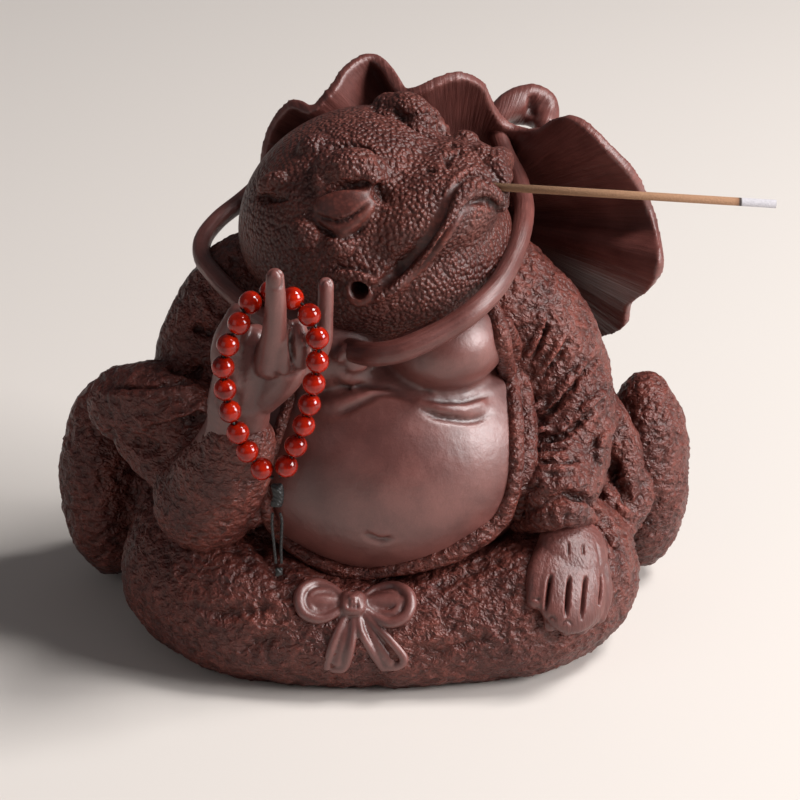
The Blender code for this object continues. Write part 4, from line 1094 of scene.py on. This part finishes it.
# %% Incense stick
INCENSE, tree, shader, in_mm = new_material("incense")
powder = node(tree, "ShaderNodeTexNoise", {"Scale": 2.4, "Detail": 4.0}, {"Vector": in_mm}).outputs["Fac"]
across = node(tree, "ShaderNodeSeparateXYZ", None, {0: in_mm}).outputs["X"]
burn_start, burn_end = (spot(*place, stick_at.y).x for place in BURN_SPOTS)
burnt = spread(tree, across, {"From Min": burn_start, "From Max": burn_end})
stops = node(tree, "ShaderNodeValToRGB", None, {"Fac": burnt})
ramp = stops.color_ramp
ramp.elements[0].color = linear("#8f6b50")
ramp.elements[1].color = linear("#a3a0a4")
ramp.elements.new(0.55).color = linear("#7a573f")
ramp.elements.new(0.72).color = linear("#241a17")
ramp.elements.new(0.88).color = linear("#3a302d")
shade = spread(tree, powder, {"To Min": 0.7, "To Max": 1.25})
links = {0: stops.outputs["Color"], "Scale": shade}
mixed = node(tree, "ShaderNodeVectorMath", None, links, operation="SCALE")
tree.links.new(mixed.outputs[0], shader.inputs["Base Color"])
crumb = node(tree, "ShaderNodeBump", {"Strength": 1.0, "Distance": 0.15 * MM}, {"Height": powder})
tree.links.new(crumb.outputs[0], shader.inputs["Normal"])
shader.inputs["Roughness"].default_value = 0.9

start = stick_at - stick_way * (STICK_INSERT - STICK_CLEAR)
stick = rod("stick", start, stick_far, STICK_WIDTH / 2, sides=24)
count(show(stick, INCENSE, "incense", "incense_stick"))

# %% [markdown]
# ## Knots of the string
#
# The two ends of the cord are braided for a short way under the loop, hang side by side, and are tied off.

# %% Tassel
TASSEL_KNOT = ((277, 486.5, -53), (278.5, 495, -53), (276.5, 504, -53))
TASSEL_KNOT_WIDTH = 3.0
TASSEL_TAILS = (((272.5, 513, -53), (272, 525, -53), (274, 544, -53), (276, 563, -53)),
                ((280, 513, -53), (282, 522, -53), (281, 546, -53), (281.5, 563, -53)))
TASSEL_END = ((279, 569.5, -53), (279, 574, -53))
TASSEL_END_WIDTH = 2.0


def braid(name, line, width, turns):
    """Two strands wound round each other along a line."""
    path = smooth_path(spots(line), 0.15)[:, :3]
    bm = bmesh.new()
    for side in (0.0, math.pi):
        turn = np.linspace(0, turns * 2 * math.pi, len(path)) + side
        wound = path + np.stack([np.cos(turn), np.sin(turn), 0 * turn], axis=1) * width * 0.22
        limb(bm, [(*place, width * 0.29) for place in wound[::3]])
    return knead(make(name, bm), grain=0.14, passes=2)


knot = braid("braided_knot", TASSEL_KNOT, TASSEL_KNOT_WIDTH, turns=3.0)
knot = show(knot, WAX, "black_wax_cord", "bead_knot")
end_knot = braid("end_knot", TASSEL_END, TASSEL_END_WIDTH, turns=0.6)
end_knot = show(end_knot, WAX, "black_wax_cord", "tassel_end")
for i, tail in enumerate(TASSEL_TAILS):
    line = tube(f"tail_{i + 1}", smooth_path(spots(tail), 1.2), STRING_WIDTH)
    show(line, WAX, "black_wax_cord", f"tassel_cord_{i + 1}")
print("tassel made")

# %% [markdown]
# ## Floor and light
#
# The figure stands on a flat, pale floor. A soft lamp high on the right models the forms, a wider one lower
# on the right lights the front like a window, and a weak one on the left opens the shadows.

# %% Floor, lamps and world


def lamp(name, place, watts, size, colour):
    """A square soft lamp that looks at the figure."""
    light = bpy.data.lights.new(name, "AREA")
    light.energy = watts
    light.size = size
    light.color = colour
    obj = bpy.data.objects.new(name, light)
    obj.location = place
    obj.rotation_mode = "QUATERNION"
    obj.rotation_quaternion = (SHEET_POINT * MM - Vector(place)).to_track_quat("-Z", "Y")
    bpy.context.scene.collection.objects.link(obj)


bm = bmesh.new()
bmesh.ops.create_grid(bm, x_segments=2, y_segments=2, size=3.0)
floor = make("floor", bm)
paper, tree, shader, place = new_material("pale_paper")
shader.inputs["Base Color"].default_value = linear("#d3cdc7")
shader.inputs["Roughness"].default_value = 0.9
floor.data.materials.append(paper)

lamp("key", (0.80, 0.02, 1.18), 18.5, 0.44, (1.0, 0.98, 0.97))
lamp("window", (1.31, -0.40, 0.66), 27.0, 0.66, (1.0, 0.98, 0.98))
lamp("fill", (-0.5, -0.45, 0.35), 0.4, 0.5, (1.0, 0.97, 0.97))
world = bpy.data.worlds.new("studio")
bpy.context.scene.world = world
world.use_nodes = True
sky = world.node_tree.nodes["Background"]
sky.inputs["Color"].default_value = (0.095, 0.09, 0.093, 1.0)
sky.inputs["Strength"].default_value = 1.0
bpy.context.scene.view_settings.view_transform = "Standard"
